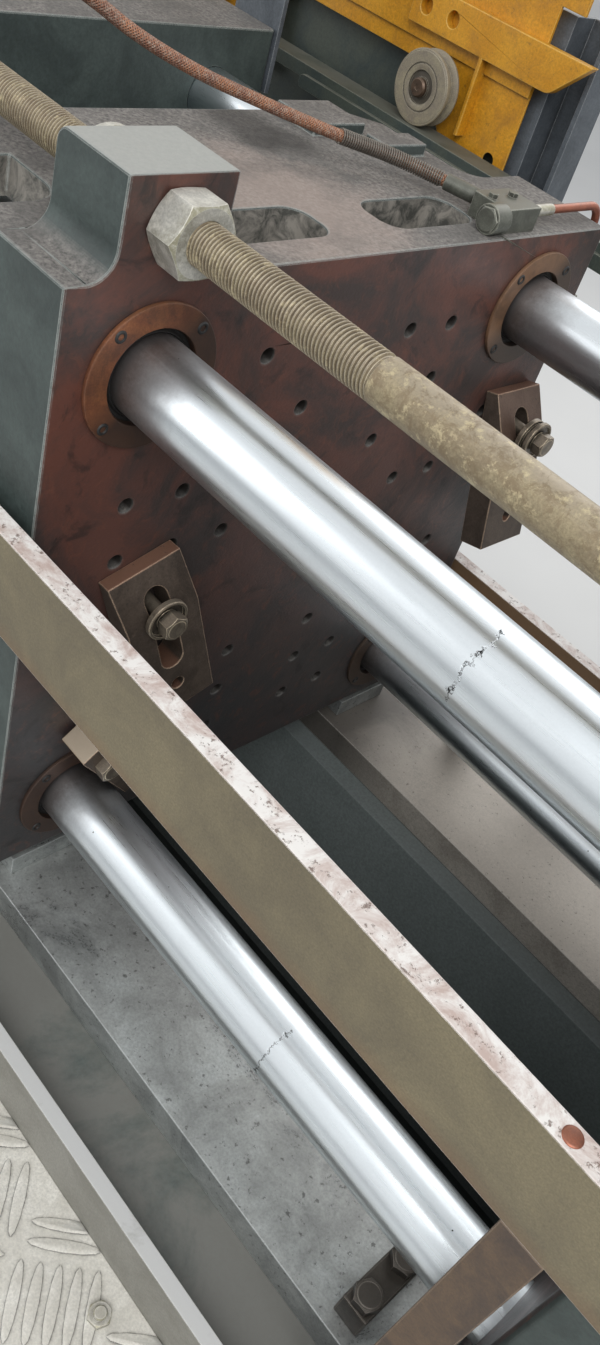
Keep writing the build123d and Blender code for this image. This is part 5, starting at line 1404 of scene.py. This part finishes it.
def make_tread(sizes):
    """The step's checker plate: groups of raised bars at right angles, and a stud with its nut."""
    low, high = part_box("tread_plate")
    bpy.ops.mesh.primitive_cylinder_add(
        vertices=12, radius=1, depth=1, location=(0, 0, 0),
        scale=(sizes.tread_bar / 2, sizes.tread_bar * 0.08, 0.003),
    )
    bar = named("tread_bar")
    bpy.ops.object.mode_set(mode="EDIT")
    bpy.ops.mesh.select_all(action="DESELECT")
    mesh = bmesh.from_edit_mesh(bar.data)
    for face in mesh.faces:
        face.select_set(face.normal.z > 0.9)
    bmesh.update_edit_mesh(bar.data)
    bpy.ops.mesh.inset(thickness=0.0022)
    bpy.ops.transform.translate(value=(0, 0, 0.0005))
    bpy.ops.object.mode_set(mode="OBJECT")
    bpy.ops.object.shade_smooth_by_angle(angle=math.radians(60))
    pitch, block = sizes.tread_bar * 0.26, sizes.tread_block
    places, turns = [], []
    middle = (low.y + high.y) / 2
    start = FACE + 0.425 - block * math.sqrt(2) * 11
    for column in range(40):
        for row in (-1, 0, 1):
            slant = 1 if row == 0 else -1
            centre = Vector((
                start + (column + 0.5 * (row % 2)) * block * math.sqrt(2),
                middle + row * block / math.sqrt(2), high.z,
            ))
            turn = math.radians(-45 * slant)
            for number in range(-2, 3):
                shift = Vector((-math.sin(turn), math.cos(turn), 0)) * pitch * number
                place = centre + shift
                if low.x < place.x < high.x and low.y + 0.004 < place.y < high.y - 0.004:
                    places.append(place)
                    turns.append(-45 * slant)
    pattern = set_in_places(bar, "tread_bars", places, "+Z", turns)
    activate(pattern)
    cuts = (
        ((0, high.y - 0.001, 0), (0, 1, 0)), ((0, low.y + 0.001, 0), (0, -1, 0)),
        ((low.x + 0.001, 0, 0), (-1, 0, 0)), ((high.x - 0.001, 0, 0), (1, 0, 0)),
    )
    bpy.ops.object.mode_set(mode="EDIT")
    for point, outward in cuts:
        bpy.ops.mesh.select_all(action="SELECT")
        bpy.ops.mesh.bisect(plane_co=point, plane_no=outward, clear_outer=True, use_fill=True)
    bpy.ops.object.mode_set(mode="OBJECT")
    plate = dressed("tread_plate", "tread_sheet", 0.0008)
    finish(joined([plate, pattern], "checker_plate"), "frame", "tread", ("tread_plate",))

    stud = turned("tread_stud", [
        (0, 0.012), (0.0062, 0.012), (0.0075, 0.0105), (0.0075, 0), (0, 0),
    ], 24)
    nut = hexagonal("tread_nut", 0.024, 0.008, 0.0075, True)
    place = at(462, -517, 0)
    pair = [put(piece, (place.x, place.y, high.z), "+Z", 12) for piece in (stud, nut)]
    finish(joined(pair, "tread_stud_and_nut"), "frame", "zinc")


def make_bed_panels(sizes):
    """Welded sides of the bed: recessed panels between posts, and rounded corners."""
    for node, out in (("bed_front", -1), ("bed_rear", 1)):
        low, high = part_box(node)
        face = max(abs(low.y), abs(high.y))
        piece = merged(node, node + "_panels", 1)
        activate(piece)
        bpy.ops.object.mode_set(mode="EDIT")
        for number in range(1, sizes.bed_bays):
            place = low.x + (high.x - low.x) * number / sizes.bed_bays
            bpy.ops.mesh.select_all(action="SELECT")
            bpy.ops.mesh.bisect(plane_co=(place, 0, 0), plane_no=(1, 0, 0))
        bpy.ops.mesh.select_mode(type="FACE")
        mesh = bmesh.from_edit_mesh(piece.data)
        for polygon in mesh.faces:
            outer = abs(polygon.calc_center_median().y) > face - 0.01
            polygon.select = outer and polygon.normal.y * out > 0.9
        bmesh.update_edit_mesh(piece.data)
        bpy.ops.mesh.inset(thickness=0.055, depth=0, use_individual=True)
        bpy.ops.mesh.inset(thickness=0.006, depth=-0.012, use_individual=True)
        bpy.ops.mesh.select_mode(type="VERT")
        bpy.ops.object.mode_set(mode="OBJECT")
        soften(piece, 0.003, 2, 25)
        finish(piece, "frame", "bed", (node,))
    for node in ("bed_clamp_end", "bed_fixed_end"):
        dress(node, node + "_sheet", sizes.steel_edge, "frame", "bed")
    for node in ("chute_front_sheet", "chute_rear_sheet"):
        dress(node, node + "_bent", sizes.steel_edge, "frame", "chute")


def make_feet():
    """The levelling feet: pads, threaded stems and locking nuts."""
    feet = []
    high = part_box("levelling_feet")[1]
    for number, (first, second) in enumerate(loose_boxes("levelling_feet")):
        middle = (first + second) / 2
        radius = (second.x - first.x) / 2
        pad = turned(f"foot_pad_{number}", [
            (0, 0), (radius - 0.003, 0), (radius, 0.003), (radius, 0.016), (radius - 0.005, 0.0215),
            (0.034, 0.022), (0.028, 0.026), (0.0185, 0.026), (0.0185, high.z), (0, high.z),
        ], 40)
        nut = hexagonal(f"foot_nut_{number}", 0.060, 0.018, 0.0185, True)
        ridge = thread(f"foot_thread_{number}", 0.02, 0.0182, 0.003, 0.028, 20)
        feet += [
            put(pad, (middle.x, middle.y, 0)),
            put(nut, (middle.x, middle.y, 0.0415), "+Z", 23 * number),
            put(ridge, (middle.x, middle.y, 0.0275)),
        ]
    finish(joined(feet, "levelling_feet_turned"), "frame", "ground_steel", ("levelling_feet",))


def make_rear_guard():
    """The gate's rail with its strip and posts, the uprights, the sheet and the slotted bracket."""
    pieces = (
        ("gate_rail", "rail"), ("rail_strip", "rail"), ("rail_posts", "post"),
        ("rear_uprights", "upright"), ("rear_sheet", "rail"), ("slotted_bracket", "upright"),
    )
    for node, kind in pieces:
        dress(node, node + "_edged", 0.0008, "frame", kind)
    low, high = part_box("slotted_bracket")
    head = bolt_head("bracket_bolt", 0.024, 0.009, 0.008, 0.0)
    places = [((low.x + high.x) / 2, high.y - 0.0005, low.z + 0.03)]
    finish(set_in_places(head, "bracket_bolt", places, "+Y", [11]), "frame", "zinc")


# The add-on

class ClampingUnitSizes(bpy.types.PropertyGroup):
    """Sizes that a user may change."""
    hose_width: FloatProperty(
        name="Hose width", description="Diameter of the braided lubrication hose",
        default=0.013, min=0.006, max=0.03, unit="LENGTH",
    )
    sleeve_length: FloatProperty(
        name="Spring guard length", description="Length of the spring on the hose's first stretch",
        default=0.135, min=0.02, max=0.3, unit="LENGTH",
    )
    sleeve_wire: FloatProperty(
        name="Spring guard wire", description="Thickness of the spring's wire",
        default=0.0022, min=0.001, max=0.004, unit="LENGTH",
    )
    sleeve_pitch: FloatProperty(
        name="Spring guard pitch", description="Distance between the spring's turns",
        default=0.003, min=0.002, max=0.01, unit="LENGTH",
    )
    rod_pitch: FloatProperty(
        name="Rod thread pitch", description="Distance between the safety rod's threads",
        default=0.004, min=0.002, max=0.008, unit="LENGTH",
    )
    rod_thread_ahead: FloatProperty(
        name="Rod thread past the nut", description="Threaded stretch that shows past the front nut",
        default=0.205, min=0.0, max=0.4, unit="LENGTH",
    )
    bed_bays: IntProperty(
        name="Bed bays", description="Recessed panels along each side of the bed",
        default=4, min=1, max=8,
    )
    bar_width: FloatProperty(
        name="Tie bar width", description="Diameter of the tie bars, which the nuts go round",
        default=0.08, min=0.04, max=0.12, unit="LENGTH",
    )
    casting_edge: FloatProperty(
        name="Casting edge", description="Rounding of the platens' edges",
        default=0.0022, min=0.0005, max=0.004, unit="LENGTH",
    )
    steel_edge: FloatProperty(
        name="Steel edge", description="Rounding of the steel bars' and plates' edges",
        default=0.0012, min=0.0003, max=0.002, unit="LENGTH",
    )
    flange_bolts: IntProperty(
        name="Flange bolts", description="Bolts round the clamp cylinder's flange",
        default=16, min=4, max=24,
    )
    screw_turn: FloatProperty(
        name="Bushing screw turn", description="Angle of the first screw on each bushing, in degrees",
        default=47.0, min=0.0, max=90.0,
    )
    roller_groove: FloatProperty(
        name="Roller groove", description="Depth of the groove round each roller",
        default=0.008, min=0.002, max=0.012, unit="LENGTH",
    )
    tread_bar: FloatProperty(
        name="Tread bar", description="Length of the raised bars on the checker plate",
        default=0.08, min=0.03, max=0.12, unit="LENGTH",
    )
    tread_block: FloatProperty(
        name="Tread group", description="Side of a group of raised bars",
        default=0.1, min=0.05, max=0.16, unit="LENGTH",
    )


def shade_property(name, description, code):
    """A colour of the panel with an sRGB hex value for its default."""
    return FloatVectorProperty(
        name=name, description=description, subtype="COLOR", size=3, min=0.0, max=1.0,
        default=linear(code)[:3],
    )


class ClampingUnitColours(bpy.types.PropertyGroup):
    """Colours that a user may change."""
    platen: shade_property("Platens", "Slate enamel of the castings", "#37413f")
    bed: shade_property("Bed", "Enamel of the bed's sides", "#4b5552")
    # The bed's enamel painted lighter: painted light in the chute's shade
    chute: shade_property("Chute", "Enamel inside the part chute", "#7d8583")
    steel: shade_property("Ground steel", "Way plates, nuts and shoes", "#c0c4c2")
    clamp: shade_property("Clamps", "Forged steel of the mould clamps", "#62564c")
    chrome: shade_property("Chrome", "Plating of the tie bars and the ram", "#dce3e7")
    zinc: shade_property("Zinc", "Galvanised nuts and bolts", "#c9c7be")
    rod: shade_property("Safety rod", "Zinc plating of the safety rod", "#a39678")
    khaki: shade_property("Guard beams", "Enamel of the guard beams", "#82785e")
    trim: shade_property("Lip bars", "Enamel of the lip bars", "#94928a")
    tread: shade_property("Checker plate", "Aluminium of the step", "#f0ede4")
    rail: shade_property("Rail", "Enamel of the gate's rail", "#4a5149")
    yellow: shade_property("Gate", "Enamel of the guard gate", "#e0a12a")
    nylon: shade_property("Rollers", "Nylon of the gate's rollers", "#9c927a")
    bronze: shade_property("Bushings", "Bronze of the bushings' flanges", "#96603f")


class CLAMPING_OT_stage(bpy.types.Operator):
    """Adds the floor, the world, the lamps and the camera"""
    bl_idname = "clamping.stage"
    bl_label = "Stage and camera"

    def execute(self, context):
        make_stage()
        return {"FINISHED"}


class CLAMPING_OT_finishes(bpy.types.Operator):
    """Makes the finishes and gives them to the solids"""
    bl_idname = "clamping.finishes"
    bl_label = "Finishes"

    def execute(self, context):
        make_materials(context.scene.clamping_colours)
        finish_solids()
        return {"FINISHED"}


class CLAMPING_OT_castings(bpy.types.Operator):
    """Models the platens as castings"""
    bl_idname = "clamping.castings"
    bl_label = "Castings"

    def execute(self, context):
        make_castings(context.scene.clamping_sizes)
        return {"FINISHED"}


class CLAMPING_OT_drive(bpy.types.Operator):
    """Models the hydraulic cylinder's parts and bolts"""
    bl_idname = "clamping.drive"
    bl_label = "Clamp cylinder"

    def execute(self, context):
        make_drive(context.scene.clamping_sizes)
        return {"FINISHED"}


class CLAMPING_OT_tie_nuts(bpy.types.Operator):
    """Models the nuts of the tie bars"""
    bl_idname = "clamping.tie_nuts"
    bl_label = "Tie bar nuts"

    def execute(self, context):
        make_tie_nuts(context.scene.clamping_sizes)
        return {"FINISHED"}


class CLAMPING_OT_bushings(bpy.types.Operator):
    """Models the bushings' flanges, screws and wipers"""
    bl_idname = "clamping.bushings"
    bl_label = "Bushings"

    def execute(self, context):
        make_bushings(context.scene.clamping_sizes)
        return {"FINISHED"}


class CLAMPING_OT_clamps(bpy.types.Operator):
    """Models the mould clamps, the heel bar and their bolts"""
    bl_idname = "clamping.clamps"
    bl_label = "Mould clamps"

    def execute(self, context):
        make_clamps(context.scene.clamping_sizes)
        return {"FINISHED"}


class CLAMPING_OT_safety_rod(bpy.types.Operator):
    """Models the safety rod with its threads, nut and washer"""
    bl_idname = "clamping.safety_rod"
    bl_label = "Safety rod"

    def execute(self, context):
        make_safety_rod(context.scene.clamping_sizes)
        return {"FINISHED"}


class CLAMPING_OT_lubrication(bpy.types.Operator):
    """Models the manifold and the fittings of the hose and tube"""
    bl_idname = "clamping.lubrication"
    bl_label = "Lubrication fittings"

    def execute(self, context):
        make_lubrication()
        return {"FINISHED"}


class CLAMPING_OT_hose(bpy.types.Operator):
    """Models the lubrication hose with its spring guard"""
    bl_idname = "clamping.hose"
    bl_label = "Lubrication hose"

    def execute(self, context):
        make_hose(context.scene.clamping_sizes)
        return {"FINISHED"}


class CLAMPING_OT_rollers(bpy.types.Operator):
    """Models the gate's grooved rollers and axles"""
    bl_idname = "clamping.rollers"
    bl_label = "Gate rollers"

    def execute(self, context):
        make_rollers(context.scene.clamping_sizes)
        return {"FINISHED"}


class CLAMPING_OT_gate(bpy.types.Operator):
    """Models the gate's panel, bar and window gasket"""
    bl_idname = "clamping.gate"
    bl_label = "Guard gate"

    def execute(self, context):
        make_gate()
        return {"FINISHED"}


class CLAMPING_OT_beams(bpy.types.Operator):
    """Models the guard beams and their posts"""
    bl_idname = "clamping.beams"
    bl_label = "Guard beams"

    def execute(self, context):
        make_beams(context.scene.clamping_sizes)
        return {"FINISHED"}


class CLAMPING_OT_ways(bpy.types.Operator):
    """Models the way plates, stops, shoes and lip bars"""
    bl_idname = "clamping.ways"
    bl_label = "Ways"

    def execute(self, context):
        make_ways(context.scene.clamping_sizes)
        return {"FINISHED"}


class CLAMPING_OT_tread(bpy.types.Operator):
    """Models the step's checker plate"""
    bl_idname = "clamping.tread"
    bl_label = "Checker plate"

    def execute(self, context):
        make_tread(context.scene.clamping_sizes)
        return {"FINISHED"}


class CLAMPING_OT_bed(bpy.types.Operator):
    """Models the bed's sides, its ends and the part chute"""
    bl_idname = "clamping.bed"
    bl_label = "Bed"

    def execute(self, context):
        make_bed_panels(context.scene.clamping_sizes)
        return {"FINISHED"}


class CLAMPING_OT_feet(bpy.types.Operator):
    """Models the levelling feet"""
    bl_idname = "clamping.feet"
    bl_label = "Levelling feet"

    def execute(self, context):
        make_feet()
        return {"FINISHED"}


class CLAMPING_OT_rear_guard(bpy.types.Operator):
    """Models the gate's rail, posts, uprights and bracket"""
    bl_idname = "clamping.rear_guard"
    bl_label = "Rear guard frame"

    def execute(self, context):
        make_rear_guard()
        return {"FINISHED"}


OPERATORS = (
    CLAMPING_OT_stage, CLAMPING_OT_finishes, CLAMPING_OT_castings, CLAMPING_OT_drive,
    CLAMPING_OT_tie_nuts, CLAMPING_OT_bushings, CLAMPING_OT_clamps, CLAMPING_OT_safety_rod,
    CLAMPING_OT_lubrication, CLAMPING_OT_hose, CLAMPING_OT_rollers, CLAMPING_OT_gate,
    CLAMPING_OT_beams, CLAMPING_OT_ways, CLAMPING_OT_tread, CLAMPING_OT_bed, CLAMPING_OT_feet,
    CLAMPING_OT_rear_guard,
)


class CLAMPING_PT_panel(bpy.types.Panel):
    """Lists the pieces of the clamping unit"""
    bl_idname = "CLAMPING_PT_panel"
    bl_label = "Clamping unit"
    bl_space_type = "VIEW_3D"
    bl_region_type = "UI"
    bl_category = "Clamping unit"

    def draw(self, context):
        column = self.layout.column()
        for group, values in (
            (ClampingUnitSizes, context.scene.clamping_sizes),
            (ClampingUnitColours, context.scene.clamping_colours),
        ):
            for name in group.__annotations__:
                column.prop(values, name)
        for operator in OPERATORS:
            column.operator(operator.bl_idname)


CLASSES = (ClampingUnitSizes, ClampingUnitColours, *OPERATORS, CLAMPING_PT_panel)


def register():
    """Registers the classes, the sizes and the colours."""
    for item in CLASSES:
        bpy.utils.register_class(item)
    bpy.types.Scene.clamping_sizes = PointerProperty(type=ClampingUnitSizes)
    bpy.types.Scene.clamping_colours = PointerProperty(type=ClampingUnitColours)


def unregister():
    """Takes the classes, the sizes and the colours away."""
    del bpy.types.Scene.clamping_colours
    del bpy.types.Scene.clamping_sizes
    for item in reversed(CLASSES):
        bpy.utils.unregister_class(item)


def main():
    """Builds all the pieces."""
    register()
    for operator in OPERATORS:
        group, name = operator.bl_idname.split(".")
        getattr(getattr(bpy.ops, group), name)()


if __name__ == "__main__":
    main()
